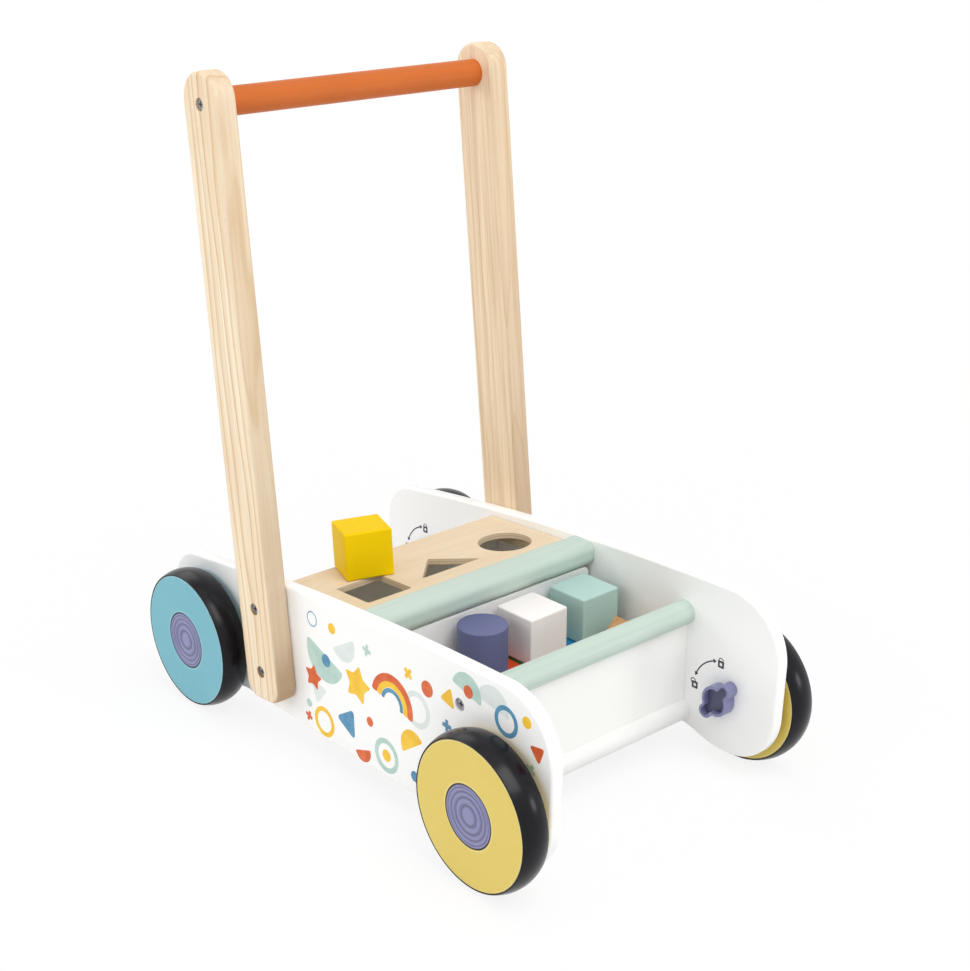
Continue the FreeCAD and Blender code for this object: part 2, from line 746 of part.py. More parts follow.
def screw_bores(body, centres, inside, depth):
    """Bores for wood screws in both ends of a cross piece, at (y, z) formulas."""
    for name, side in SIDES.items():
        bores = new_sketch(body, f"bores_{name}", "YZ_Plane", f"{side} * {inside}")
        for back, height in centres:
            draw_circle(bores, back, height, SCREW_CORE)
        pocket(body, bores, depth, reverse=side < 0)


def beside_screws(height):
    """How far back the line through the post's screws lies at a height."""
    return f"(post_foot_back + ({height} - post_foot_height) * tan(post_tilt))"


def make_rear_wall():
    """The sorter's rear wall, tilted like the posts, whose screws hold its ends. It has an outlet for blocks."""
    body = new_body("rear_wall")
    section = new_sketch(body, "section", "YZ_Plane")
    half = "rear_wall_thickness / 2 / cos(post_tilt)"
    foot, top = beside_screws("floor_height"), beside_screws(REAR_WALL_TOP)
    draw_polygon(section, [
        (f"{foot} - {half}", "floor_height"),
        (f"{foot} + {half}", "floor_height"),
        (f"{top} + {half}", REAR_WALL_TOP),
        (f"{top} - {half}", REAR_WALL_TOP),
    ])
    pad(body, section, "panel_span", midplane=True)
    outlet = new_sketch(body, "outlet", "XZ_Plane")
    draw_box(outlet, "-outlet_width / 2", "floor_height - outlet_radius",
             "outlet_width / 2", "floor_height + outlet_height")
    pocket(body, outlet)
    corners = [corner_edge(outlet, corner, axis=1) for corner in (2, 3)]
    soften(body, "outlet_corners", "outlet_radius", lambda edge: any(test(edge) for test in corners))
    upper = [corner_edge(section, corner) for corner in (2, 3)]
    soften(body, "edges", "rear_wall_edge_radius", lambda edge: any(test(edge) for test in upper))
    screws = [("post_foot_back", "post_foot_height"), (SECOND_SCREW_BACK, SECOND_SCREW_HEIGHT)]
    screw_bores(body, screws, PANEL_INSIDE, "post_screw_length - post_thickness - panel_thickness + board_gap")
    return body


def make_rod(label, height, groove_up):
    """A round front rod, grooved along one side for the front panel, with a screw bore in each end."""
    body = new_body(label)
    circle = new_sketch(body, "circle", "YZ_Plane")
    draw_circle(circle, "0", "0", "rod_diameter / 2")
    pad(body, circle, "panel_span", midplane=True)
    groove = new_sketch(body, "groove", "YZ_Plane")
    half = "(front_panel_thickness / 2 + board_gap)"
    deep = "(rod_diameter / 2 - rod_groove_depth)"
    low, high = (deep, "rod_diameter / 2 + 1") if groove_up else ("-rod_diameter / 2 - 1", f"-{deep}")
    draw_box(groove, f"-{half}", low, half, high)
    pocket(body, groove)
    screw_bores(body, [("0", "0")], PANEL_INSIDE, "rod_screw_length - panel_thickness + board_gap")
    place(body, y="-rod_forward", z=height)
    return body


def make_push_bar():
    """The painted dowel that the child holds, between the posts' inner faces."""
    body = new_body("push_bar")
    circle = new_sketch(body, "circle", "YZ_Plane")
    draw_circle(circle, "0", "0", "push_bar_diameter / 2")
    pad(body, circle, f"2 * {PANEL_OUTSIDE}", midplane=True)
    screw_bores(body, [("0", "0")], PANEL_OUTSIDE, "post_screw_length - post_thickness + board_gap")
    place(body, y=BAR_BACK, z=BAR_HEIGHT)
    return body


def make_board(label, plane, low_u, low_v, high_u, high_v, offset, thickness):
    """A flat rectangular board drawn on one of the origin planes."""
    body = new_body(label)
    outline = new_sketch(body, "outline", plane, offset)
    draw_box(outline, low_u, low_v, high_u, high_v)
    pad(body, outline, thickness)
    return body, outline


FLOOR_FRONT = "(rod_forward - rod_diameter / 2 - board_gap)"
FLOOR_REAR = "(post_foot_back + rear_wall_thickness / 2)"


def make_floor():
    """The floor board of tray and sorter box, let into a groove in each panel."""
    half = f"({PANEL_INSIDE} + dado_depth - board_gap)"
    body, _ = make_board("floor_board", "XY_Plane", f"-{half}", f"-{FLOOR_FRONT}", half, FLOOR_REAR,
                         "floor_height - floor_thickness", "floor_thickness")
    return body


def make_front_panel():
    """The tray's front, held in the grooves of the two front rods."""
    half = f"({PANEL_INSIDE} - board_gap)"
    low = "low_rod_height + rod_diameter / 2 - rod_groove_depth + board_gap"
    high = "top_rod_height - rod_diameter / 2 + rod_groove_depth - board_gap"
    body, _ = make_board("front_panel", "XZ_Plane", f"-{half}", low, half, high,
                         "rod_forward - front_panel_thickness / 2", "front_panel_thickness")
    return body


def make_divider():
    """The board between tray and sorter box, with rounded top corners."""
    half = f"({PANEL_INSIDE} - divider_side_gap)"
    body, outline = make_board("tray_divider", "XZ_Plane", f"-{half}", "floor_height", half, DIVIDER_TOP,
                               DIVIDER_REAR, "divider_thickness")
    top = [corner_edge(outline, corner, axis=1) for corner in (2, 3)]
    soften(body, "top_corners", "divider_corner_radius", lambda edge: any(test(edge) for test in top))
    soften(body, "edges", "divider_edge_radius", rim_edges(body.Tip.Shape, axis=1))
    return body


def make_rail():
    """The rounded rail over the divider; its rear lip laps over the lid's front edge."""
    body = new_body("sorter_rail")
    section = new_sketch(body, "section", "YZ_Plane")
    lap = "(rail_rear + rail_lap + joint_gap)"
    draw_polygon(section, [
        ("-rail_front", RAIL_LOW),
        (f"-{lap}", RAIL_LOW),
        (f"-{lap}", f"{lid_top(f'-{lap}')} + board_gap"),
        ("-rail_rear", f"{lid_top('-rail_rear')} + board_gap"),
        ("-rail_slope_start", RAIL_TOP),
        ("-rail_front", RAIL_TOP),
    ])
    pad(body, section, f"2 * {PANEL_INSIDE}", midplane=True)
    soften(body, "slope", "rail_rear_radius", corner_edge(section, 4))
    front = [corner_edge(section, corner) for corner in (0, 5)]
    soften(body, "front", "rail_front_radius", lambda edge: any(test(edge) for test in front))
    for name, side in SIDES.items():
        pins = new_sketch(body, f"pins_{name}", "YZ_Plane", f"{side} * {PANEL_INSIDE}")
        for sign in (-1, 1):
            draw_circle(pins, f"-pin_row_back + {sign} * pin_pitch / 2", PIN_ROW_HEIGHT,
                        "pin_diameter / 2 + running_gap")
        pocket(body, pins, "pin_length - pin_in_panel + board_gap", reverse=side < 0)
    return body


def make_lid():
    """The sorter's lid, drawn flat from its rear edge with its three holes, then tilted."""
    body = new_body("sorter_lid")
    outline = new_sketch(body, "outline", "XY_Plane", "-lid_thickness")
    half = f"({PANEL_INSIDE} - lid_side_gap)"
    draw_box(outline, f"-{half}", "-lid_length", half, "0")
    pad(body, outline, "lid_thickness")
    holes = new_sketch(body, "holes", "XY_Plane")
    square = "square_hole_size / 2"
    draw_box(holes, f"-square_hole_side - {square}", f"-square_hole_from_rear - {square}",
             f"-square_hole_side + {square}", f"-square_hole_from_rear + {square}")
    draw_circle(holes, "round_hole_side", "-round_hole_from_rear", "round_hole_diameter / 2")
    triangle = "triangle_hole_base / 2"
    draw_polygon(holes, [
        (f"triangle_hole_side - {triangle}", "-triangle_hole_from_rear"),
        (f"triangle_hole_side + {triangle}", "-triangle_hole_from_rear"),
        ("triangle_hole_side", f"-triangle_hole_from_rear + {triangle}"),
    ])
    pocket(body, holes)
    corners = [corner_edge(holes, corner, axis=2) for corner in range(4)]
    soften(body, "hole_corners", "square_hole_radius", lambda edge: any(test(edge) for test in corners))
    soften(body, "edges", "lid_edge_radius", rim_edges(body.Tip.Shape, axis=2))
    place(body, y=LID_REAR_BACK, z=LID_REAR_HEIGHT, axis=(-1, 0, 0), angle="lid_tilt")
    return body


def make_cleat(name, length):
    """Pattern of a square stick, drawn along +Z from its foot."""
    body = new_body(name)
    section = new_sketch(body, "section", "XY_Plane")
    half = "cleat_size / 2"
    draw_box(section, f"-{half}", f"-{half}", half, half)
    pad(body, section, length)
    return body


# ---------------------------------------------------------------- toy blocks

def make_cube(label, x, y, z, yaw="0", tilt="0"):
    """A toy cube with rounded edges, standing on its placement point, turned and then tilted back."""
    body = new_body(label)
    face = new_sketch(body, "face", "XY_Plane")
    turn(face, yaw)
    half = "block_size / 2"
    draw_box(face, f"-{half}", f"-{half}", half, half)
    pad(body, face, "block_size")
    soften(body, "edges", "block_edge_radius", lambda edge: True)
    place(body, x, y, z, (-1, 0, 0), tilt)
    return body


def make_cylinder(label, x, y, z):
    """A toy cylinder as wide as it is tall."""
    body = new_body(label)
    face = new_sketch(body, "face", "XY_Plane")
    draw_circle(face, "0", "0", "block_size / 2")
    pad(body, face, "block_size")
    soften(body, "edges", "block_edge_radius / 2", rim_edges(body.Tip.Shape, axis=2))
    place(body, x, y, z)
    return body


def make_prism(label, x, y, z):
    """A toy roof block lying on its long side, its ridge running forward from the placement point."""
    body = new_body(label)
    face = new_sketch(body, "face", "XZ_Plane")
    half = "roof_block_base / 2"
    draw_polygon(face, [(f"-{half}", "0"), (half, "0"), ("0", half)])
    pad(body, face, "roof_block_length")
    soften(body, "edges", "block_edge_radius / 2", lambda edge: True)
    place(body, x, y, z)
    return body


# ---------------------------------------------------------------- the walker

NODES = []
post_screw = make_screw("post_screw_pattern", "post_screw_length")
rod_screw = make_screw("rod_screw_pattern", "rod_screw_length")
axle_bolt = make_axle_bolt()
spacer = make_spacer()

for side_name, side in SIDES.items():
    NODES.append(make_side_panel(f"side_panel_{side_name}", side))
    NODES.append(make_post(f"handle_post_{side_name}", side))

NODES.append(make_push_bar())
NODES.append(make_lid())
NODES.append(make_rail())
NODES.append(make_divider())
NODES.append(make_rod("top_front_rod", "top_rod_height", groove_up=False))
NODES.append(make_rod("low_front_rod", "low_rod_height", groove_up=True))
NODES.append(make_front_panel())
NODES.append(make_floor())
NODES.append(make_rear_wall())

cleat_side = f"({PANEL_INSIDE} - cleat_size / 2)"
lid_cleat = make_cleat("lid_cleat_pattern", "lid_cleat_length")
under_lid = "(lid_thickness + cleat_size / 2)"
cleat_back = f"{LID_REAR_BACK} - lid_cleat_from_rear * cos(lid_tilt) - {under_lid} * sin(lid_tilt)"
cleat_height = f"{LID_REAR_HEIGHT} + lid_cleat_from_rear * sin(lid_tilt) - {under_lid} * cos(lid_tilt)"
NODES.append(group("lid_cleats", lid_cleat, [
    {"x": f"{side} * {cleat_side}", "y": cleat_back, "z": cleat_height,
     "axis": (1, 0, 0), "angle": "90 - lid_tilt"} for side in SIDES.values()]))

divider_cleat = make_cleat("divider_cleat_pattern", "divider_cleat_length")
NODES.append(group("divider_cleats", divider_cleat, [
    {"x": f"{side} * {cleat_side}", "y": f"-{DIVIDER_REAR} + cleat_size / 2", "z": "floor_height"}
    for side in SIDES.values()]))

pin = new_body("pin_pattern")
pin_circle = new_sketch(pin, "circle", "YZ_Plane")
draw_circle(pin_circle, "0", "0", "pin_diameter / 2")
pad(pin, pin_circle, "pin_length")
NODES.append(group("rail_pins", pin, [
    {"x": f"{side} * ({PANEL_INSIDE} + pin_in_panel - pin_length)" if side > 0
     else f"-({PANEL_INSIDE} + pin_in_panel)",
     "y": f"-pin_row_back + {sign} * pin_pitch / 2", "z": PIN_ROW_HEIGHT}
    for side in SIDES.values() for sign in (-1, 1)]))

NODES.append(group("post_screws", post_screw, [
    {"x": f"{side} * {POST_OUTSIDE}", "y": back, "z": height, **facing(side)}
    for side in SIDES.values()
    for back, height in (("post_foot_back", "post_foot_height"), (SECOND_SCREW_BACK, SECOND_SCREW_HEIGHT))]))
NODES.append(group("push_bar_screws", post_screw, [
    {"x": f"{side} * {POST_OUTSIDE}", "y": BAR_BACK, "z": BAR_HEIGHT, **facing(side)}
    for side in SIDES.values()]))
NODES.append(group("rod_screws", rod_screw, [
    {"x": f"{side} * {PANEL_OUTSIDE}", "y": "-rod_forward", "z": height, **facing(side)}
    for side in SIDES.values() for height in ("top_rod_height", "low_rod_height")]))

corners = [(f"{end_name}_{side_name}", end, side)
           for end_name, end in ENDS.items() for side_name, side in SIDES.items()]
NODES.append(group("axle_bolts", axle_bolt, [
    {"x": f"{side} * {PANEL_INSIDE}", "y": f"{end} * {AXLE_BACK}", "z": AXLE_HEIGHT, **facing(side)}
    for _, end, side in corners]))
NODES.append(group("wheel_spacers", spacer, [
    {"x": f"{side} * {PANEL_OUTSIDE}", "y": f"{end} * {AXLE_BACK}", "z": AXLE_HEIGHT, **facing(side)}
    for _, end, side in corners]))

for corner, end, side in corners:
    for make, piece in ((make_disc, "wheel_disc"), (make_tyre, "tyre"), (make_bush, "wheel_bush"),
                        (make_cap, "hub_cap")):
        node = make(f"{piece}_{corner}")
        place(node, f"{side} * {WHEEL_INSIDE}", f"{end} * {AXLE_BACK}", AXLE_HEIGHT, **facing(side))
        NODES.append(node)
    for make, piece in ((make_knob, "brake_knob"), (make_nut, "knob_nut")):
        node = make(f"{piece}_{corner}", side)
        place(node, f"{side} * {PANEL_INSIDE}", f"{end} * {AXLE_BACK}", AXLE_HEIGHT, **facing(side))
        NODES.append(node)

# The blocks stand just clear of the rail's front, so that each can be lifted straight out.
REAR_ROW = "(-rail_front - 2 * joint_gap - block_size / 2)"
TURNED_ROW = f"({REAR_ROW} - turned_block_gap)"
FRONT_ROW = "(-rod_forward + rod_diameter / 2 + 4 * joint_gap + block_size / 2)"
YELLOW_BACK = f"({LID_REAR_BACK} - yellow_from_rear)"


def beside_left(distance):
    """A place across the tray, at a named distance from the left panel."""
    return f"{PANEL_INSIDE} - {distance}"


for colour, row, base, yaw in (("orange", REAR_ROW, LOWER_BLOCK_BASE, "0"),
                               ("green", REAR_ROW, LOWER_BLOCK_BASE, "0"),
                               ("blue", REAR_ROW, LOWER_BLOCK_BASE, "0"),
                               ("red", FRONT_ROW, LOWER_BLOCK_BASE, "0"),
                               ("white", TURNED_ROW, UPPER_BLOCK_BASE, "1.6"),
                               ("mint", TURNED_ROW, UPPER_BLOCK_BASE, "1.2")):
    NODES.append(make_cube(f"block_{colour}_cube", beside_left(f"{colour}_from_left"), row, base, yaw))
NODES.append(make_cylinder("block_violet_cylinder", beside_left("violet_from_left"), REAR_ROW,
                           UPPER_BLOCK_BASE))
NODES.append(make_prism("block_natural_roof", beside_left("red_from_left"),
                        f"{FRONT_ROW} + roof_block_length / 2", UPPER_BLOCK_BASE))
NODES.append(make_cube("block_yellow_cube", beside_left("yellow_from_left"), YELLOW_BACK,
                       f"{lid_top(YELLOW_BACK)} + block_gap", yaw="-21.1", tilt="lid_tilt"))

doc.recompute()

# ---------------------------------------------------------------- check and export

for item in doc.Objects:
    if "Invalid" in item.State or "Error" in item.State:
        raise RuntimeError(f"{item.Name} failed: {item.State}")
for node in NODES:
    if node.Shape.isNull() or not node.Shape.isValid():
        raise RuntimeError(f"{node.Label} has no valid shape")

os.makedirs("parts", exist_ok=True)
for node in NODES:
    node.Shape.exportStep(f"parts/{node.Label}.step")
print(len(NODES), "nodes,", sum(len(node.Shape.Solids) for node in NODES), "solids")
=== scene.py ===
# %% [markdown]
# # A wooden baby walker
# A child pushes this walker by the bar on its two pine posts. Between two white side panels are a tray
# for toy blocks and, behind it, a box with a lid that sorts blocks by their shape. It rolls on four
# wooden wheels with rubber tyres, and a plastic knob inside each panel brakes one wheel.
#
# The wooden parts come from the workshop drawing as a fixed frame. This lesson gives every part its
# finish, adds the prints that lie on the panels, and sets up the light, the floor and the camera.

# %% Load the frame
import math
import bmesh
import bpy
from mathutils import Matrix, Vector


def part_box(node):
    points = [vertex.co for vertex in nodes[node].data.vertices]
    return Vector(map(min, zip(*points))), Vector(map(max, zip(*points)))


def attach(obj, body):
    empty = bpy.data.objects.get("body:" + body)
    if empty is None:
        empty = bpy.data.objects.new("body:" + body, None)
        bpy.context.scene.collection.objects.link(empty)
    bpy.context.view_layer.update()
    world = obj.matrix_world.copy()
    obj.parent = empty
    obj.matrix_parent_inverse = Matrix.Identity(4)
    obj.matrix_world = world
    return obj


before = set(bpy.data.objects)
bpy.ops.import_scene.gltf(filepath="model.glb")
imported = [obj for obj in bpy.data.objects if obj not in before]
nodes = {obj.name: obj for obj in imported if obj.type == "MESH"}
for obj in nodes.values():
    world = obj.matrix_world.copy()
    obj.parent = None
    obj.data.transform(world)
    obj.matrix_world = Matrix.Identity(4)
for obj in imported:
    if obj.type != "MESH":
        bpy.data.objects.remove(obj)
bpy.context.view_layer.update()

# %% [markdown]
# ## The camera
# A camera needs a place, a direction and a lens. It stands in front and to the child's right of the
# walker, about chest height of an adult who sits on the floor, and looks a little down. The direction
# could come from a Track To constraint, but two plain angles are easier to read and to repeat. The
# long lens keeps the posts nearly parallel.

# %% Camera
CAMERA_PLACE = (-0.81707, -0.96319, 0.70213)    # metres
LOOK_DOWN, TURN_RIGHT = 21.108, 41.11           # degrees, from looking level along Y
SENSOR, LENS = 36, 63.46                        # millimetres
bpy.ops.object.camera_add(location=CAMERA_PLACE,
                          rotation=(math.radians(90 - LOOK_DOWN), 0, math.radians(-TURN_RIGHT)))
camera = bpy.context.object
camera.name = "camera"
camera.data.sensor_width = SENSOR
camera.data.lens = LENS
bpy.context.scene.camera = camera
print("camera", tuple(round(place, 3) for place in camera.location), "lens", camera.data.lens)

# %% [markdown]
# ## Colours and nodes
# Colours are written from 0 to 255 in this lesson, as in a paint program, and turned into the light
# values that sockets take. Every finish is a small network of nodes. Writing each one out takes many
# lines of the same kind, so one helper adds a node, sets its options and fills its sockets: a plain
# value is set on the socket, and another node's output is joined to it. A second one does the same for
# sums, which are most of the nodes.

# %% Helpers for colours
def tone(red, green, blue):
    """A colour written 0 to 255 as the linear values of a colour socket."""
    # the sRGB curve: a short straight line for dark values, then a power
    shares = [value / 255 for value in (red, green, blue)]
    return tuple(v / 12.92 if v <= 0.04045 else ((v + 0.055) / 1.055) ** 2.4 for v in shares) + (1.0,)


def shaded(colour, red, green=None, blue=None):
    """A colour with its channels taken down to a share each. One share does for all three."""
    shares = (red, red if green is None else green, red if blue is None else blue)
    return tuple(channel * share for channel, share in zip(colour[:3], shares)) + (1.0,)


print("plain yellow as light:", [round(channel, 2) for channel in tone(255, 255, 0)])


# %% Helpers for nodes
def add(tree, kind, sockets=None, **options):
    """Add a node, set its options, and set or join its sockets by name or number."""
    node = tree.nodes.new("ShaderNode" + kind)
    for name, value in options.items():
        setattr(node, name, value)
    for name, value in (sockets or {}).items():
        if isinstance(value, bpy.types.NodeSocket):
            tree.links.new(value, node.inputs[name])
        else:
            node.inputs[name].default_value = value
    return node


def reckon(tree, operation, *values):
    """The result of a Math node with its values in order."""
    return add(tree, "Math", dict(enumerate(values)), operation=operation).outputs[0]


def new_finish(name):
    """A new material: its node tree and its Principled shader."""
    material = bpy.data.materials.new(name)
    material.use_nodes = True
    tree = material.node_tree
    return material, tree, tree.nodes["Principled BSDF"]


print("materials before the first finish:", len(bpy.data.materials))

# %% [markdown]
# ## Patterns that follow the wood
# A pattern needs a place to be read from. Object coordinates are metres in the walker's own frame, so
# grain keeps its size from part to part. A Mapping node turns and stretches them: long cells along the
# grain and short ones across it turn plain noise into fibres.

# %% Places to read a pattern from
def metres(tree, stretch=(1, 1, 1), turn=(0, 0, 0), shift=(0, 0, 0)):
    """Object coordinates, turned, stretched and shifted."""
    place = add(tree, "TexCoord").outputs["Object"]
    turned = add(tree, "Mapping", {"Vector": place, "Rotation": turn, "Location": shift}).outputs[0]
    return add(tree, "Mapping", {"Vector": turned, "Scale": stretch}).outputs[0]


def parts_of(tree, place):
    """The X, Y and Z of a place, by name."""
    return add(tree, "SeparateXYZ", {"Vector": place}).outputs


print("patterns are measured from", tuple(nodes["side_panel_left"].location))


# %% Noise, ranges, mixtures and bumps
def noise(tree, place, scale=1.0, detail=2.0, rough=0.5):
    """Smooth noise from 0 to 1."""
    return add(tree, "TexNoise", {"Vector": place, "Scale": scale, "Detail": detail,
                                  "Roughness": rough}).outputs["Fac"]


def spread(tree, value, low, high, to_low, to_high):
    """Map a value from one range to another, and hold it there."""
    return add(tree, "MapRange", {"Value": value, "From Min": low, "From Max": high,
                                  "To Min": to_low, "To Max": to_high}).outputs[0]


MIX_SHARE, MIX_FIRST, MIX_SECOND, MIX_RESULT = 0, 6, 7, 2    # a Mix node's sockets for colours


def blend(tree, share, first, second):
    """Two colours mixed by a share."""
    return add(tree, "Mix", {MIX_SHARE: share, MIX_FIRST: first, MIX_SECOND: second},
               data_type="RGBA").outputs[MIX_RESULT]


def raise_surface(tree, height, distance, strength=1.0, under=None):
    """A bump from a height, on top of another bump if one is given."""
    sockets = {"Height": height, "Distance": distance, "Strength": strength}
    if under is not None:
        sockets["Normal"] = under
    return add(tree, "Bump", sockets).outputs[0]


print("a mixture of colours leaves its node by socket", MIX_RESULT)

# %% [markdown]
# ## Sprayed paint on wood
# The panels, rails, wheels and blocks are wood or fibreboard under a satin paint. A flat colour would
# look like plastic, so three faint things are mixed in: cloudy changes of tone, the grain that shows
# through the film, and the fine orange peel of sprayed paint, which only the bump carries. The grain
# runs along a given axis, and how much of it shows depends on how thick the paint is.

# %% Paint
ALONG = {"x": (8, 260, 260), "y": (260, 8, 260), "z": (260, 260, 8)}    # fibres to the metre
CLOUDS_TO_METRE, PEEL_TO_METRE = 22, 900
GRAIN_HEIGHT, PEEL_HEIGHT = 0.00012, 0.00004                            # metres


def paint(name, colour, grain="x", grain_shows=0.03, clouds=0.03, dull=0.42, gloss=0.5):
    """Satin paint with clouds, grain and orange peel."""
    material, tree, shader = new_finish(name)
    fibres = noise(tree, metres(tree, stretch=ALONG[grain]), detail=5, rough=0.6)
    cloud = noise(tree, metres(tree), scale=CLOUDS_TO_METRE, detail=3)
    deeper = shaded(colour, 0.78)
    share_cloud = spread(tree, cloud, 0.35, 0.65, 0, clouds * 4)
    clouded = blend(tree, share_cloud, colour, deeper)
    share_grain = spread(tree, fibres, 0.45, 0.72, 0, grain_shows * 4)
    tree.links.new(blend(tree, share_grain, clouded, deeper), shader.inputs["Base Color"])
    film = noise(tree, metres(tree), scale=PEEL_TO_METRE, detail=2)
    grain_bump = raise_surface(tree, fibres, GRAIN_HEIGHT, min(1.0, 0.25 + grain_shows * 8))
    tree.links.new(raise_surface(tree, film, PEEL_HEIGHT, 0.5, grain_bump), shader.inputs["Normal"])
    tree.links.new(spread(tree, cloud, 0.3, 0.7, dull - 0.04, dull + 0.05), shader.inputs["Roughness"])
    shader.inputs["Specular IOR Level"].default_value = gloss
    return material


print("paint runs its grain along", list(ALONG))

# %% Thick white paint
# the whites differ in tone as painted light: the tray's white is lighter, standing in for light that the
# tray lacks, and the rod's and the front panel's whites are darker, as painted shade
white_paint = paint("white_paint", tone(250, 250, 248), grain="y", grain_shows=0.004, clouds=0.006,
                    dull=0.34)
white_across = paint("white_paint_across", tone(244, 244, 240), grain_shows=0.008, clouds=0.008, dull=0.36)
rod_white_darkened = paint("rod_white_darkened", tone(234, 234, 231), grain_shows=0.008, clouds=0.008, dull=0.36)
tray_white_lightened = paint("tray_white_lightened", tone(252, 252, 250), grain_shows=0.008, clouds=0.008, dull=0.40)
print("whites:", white_paint.name, white_across.name, rod_white_darkened.name, tray_white_lightened.name)

# %% Thin paint, through which the grain shows
floor_white = paint("floor_white", tone(226, 217, 199), grain_shows=0.06, dull=0.5, gloss=0.3)
mint_paint = paint("mint_paint", tone(195, 211, 200), grain_shows=0.085, clouds=0.02, dull=0.56, gloss=0.3)
bar_paint = paint("bar_paint", tone(203, 104, 36), grain_shows=0.06, clouds=0.04, dull=0.48, gloss=0.3)
print("thin paints:", floor_white.name, mint_paint.name, bar_paint.name)

# %% Paint for the wheels
yellow_paint, turquoise_paint = (
    paint(name, colour, grain="z", grain_shows=0.012, clouds=0.02, dull=dull)
    for name, colour, dull in (("yellow_paint", tone(223, 198, 94), 0.38),
                               ("turquoise_paint", tone(110, 178, 192), 0.40)))
print("paints for wheel discs:", yellow_paint.name, turquoise_paint.name)

# %% Paint for the blocks
BLOCK_COLOURS = {
    "yellow": tone(241, 203, 6), "white": tone(247, 243, 240), "mint": tone(181, 211, 204),
    "violet": tone(103, 108, 146), "orange": tone(214, 76, 28), "blue": tone(38, 128, 172),
    "green": tone(96, 160, 96), "red": tone(196, 50, 40)}
BLOCK_GLOSS = dict.fromkeys(BLOCK_COLOURS, 0.2)
BLOCK_GLOSS["yellow"] = 0.06    # more gloss would wash out its top
block_paint = {block: paint(f"block_{block}", colour, grain="z", grain_shows=0.02, clouds=0.02, dull=0.48,
                            gloss=BLOCK_GLOSS[block])
               for block, colour in BLOCK_COLOURS.items()}
print("paints for", len(block_paint), "blocks")

# %% [markdown]
# ## Pine for the posts
# Each post is sawn from a pine trunk, so its stripes are slices through year rings: the pale wood of
# spring darkens slowly into a thin tan summer line that ends sharply, and no two years are as dark as
# each other. Blender's Wave texture could draw stripes, but it can't be darker on one side of each line.
# So the distance across the rings is worked out from the coordinates, and a slow noise makes it wander.
# Its whole part numbers the year, which picks how dark that line is, and its fraction is the way through
# the year. The posts lean back, so the coordinates are turned first by the same angle.

# %% Year rings
POST_LEAN = math.radians(5.4)
RING_DRIFT = (30, 30, 3.4)      # how often the rings wander, to the metre: across, across and along


def rings_of(tree, straight, ring, across, start, wander):
    """How far each point is across the rings, counted in years. across turns the rings towards X."""
    parts = parts_of(tree, straight)
    by_x = reckon(tree, "MULTIPLY_ADD", parts["X"], math.sin(across) / ring, start)
    by_both = reckon(tree, "MULTIPLY_ADD", parts["Y"], math.cos(across) / ring, by_x)
    along = add(tree, "Mapping", {"Vector": straight, "Scale": RING_DRIFT, "Location": (start, 0, 0)})
    drift = spread(tree, noise(tree, along.outputs[0], detail=2), 0.2, 0.8, -wander, wander)
    return reckon(tree, "ADD", by_both, drift)


def grey_ramp(tree, value, stops):
    """A value passed through a smooth ramp of greys, given as places and depths."""
    ramp = add(tree, "ValToRGB", {"Fac": value})
    ramp.color_ramp.interpolation = "EASE"
    while len(ramp.color_ramp.elements) < len(stops):
        ramp.color_ramp.elements.new(0.5)
    for stop, (where, depth) in zip(ramp.color_ramp.elements, stops):
        stop.position = where
        stop.color = (depth, depth, depth, 1)
    return ramp.outputs[0]


# how dark the wood is on its way through one year, from spring to the end of summer
YEAR = ((0.0, 0.30), (0.07, 0.0), (0.55, 0.10), (0.82, 0.42), (0.93, 1.0), (0.975, 0.85))
FAINTEST_YEAR = 0.45


def summer_lines(tree, years):
    """0 in pale spring wood, up to 1 in a strong summer line."""
    depth = grey_ramp(tree, reckon(tree, "FRACT", years), YEAR)
    number = reckon(tree, "FLOOR", years)
    luck = add(tree, "TexWhiteNoise", {"W": number}, noise_dimensions="1D").outputs["Value"]
    return reckon(tree, "MULTIPLY", depth, spread(tree, luck, 0, 1, FAINTEST_YEAR, 1.0))


print("each year has", len(YEAR), "tones; posts lean", round(math.degrees(POST_LEAN), 1), "degrees")

# %% [markdown]
# ## Heartwood and end grain
# Two more things change pine's tone. The post's front face was cut nearer to the heart of the trunk and
# is a deeper tan, most of all towards the foot. End grain, on the round ends, soaks up more lacquer
# and is darker too, and the ends are made darker still towards the foot. Both follow the
# direction that the surface faces in the post's own frame, so they stay with the post from any side.

# %% Heartwood and end grain
def faces(tree, direction, low, high):
    """0 to 1 as the surface turns to face a direction or its opposite."""
    facing = add(tree, "TexCoord").outputs["Normal"]
    dot = add(tree, "VectorMath", {0: facing, 1: direction}, operation="DOT_PRODUCT").outputs["Value"]
    return spread(tree, reckon(tree, "ABSOLUTE", dot), low, high, 0, 1)


HEART_REACH = 0.5        # metres of height over which the heartwood fades
# shares of that height, and how deep the heartwood is there
HEART_BY_HEIGHT = ((0.06, 1.0), (0.10, 0.86), (0.20, 0.46), (0.60, 0.22), (1.0, 0.13))


def heartwood(tree, lean, strength):
    """How deep the front face's tone is: deepest at the foot, faint at the head."""
    share = reckon(tree, "MULTIPLY", parts_of(tree, metres(tree))["Z"], 1 / HEART_REACH)
    front = faces(tree, (0, math.cos(lean), -math.sin(lean)), 0.1, 0.7)
    deepened = reckon(tree, "MULTIPLY", grey_ramp(tree, share, HEART_BY_HEIGHT), front)
    return reckon(tree, "MULTIPLY", deepened, strength)


def end_grain(tree, lean):
    """How much darker the round ends are: most at the foot."""
    ends = faces(tree, (0, math.sin(lean), math.cos(lean)), 0.25, 0.95)
    height = parts_of(tree, metres(tree))["Z"]
    return reckon(tree, "MULTIPLY", ends, spread(tree, height, 0.05, 0.40, 0.85, 0.10))


print("heartwood fades over", HEART_REACH, "m of height")

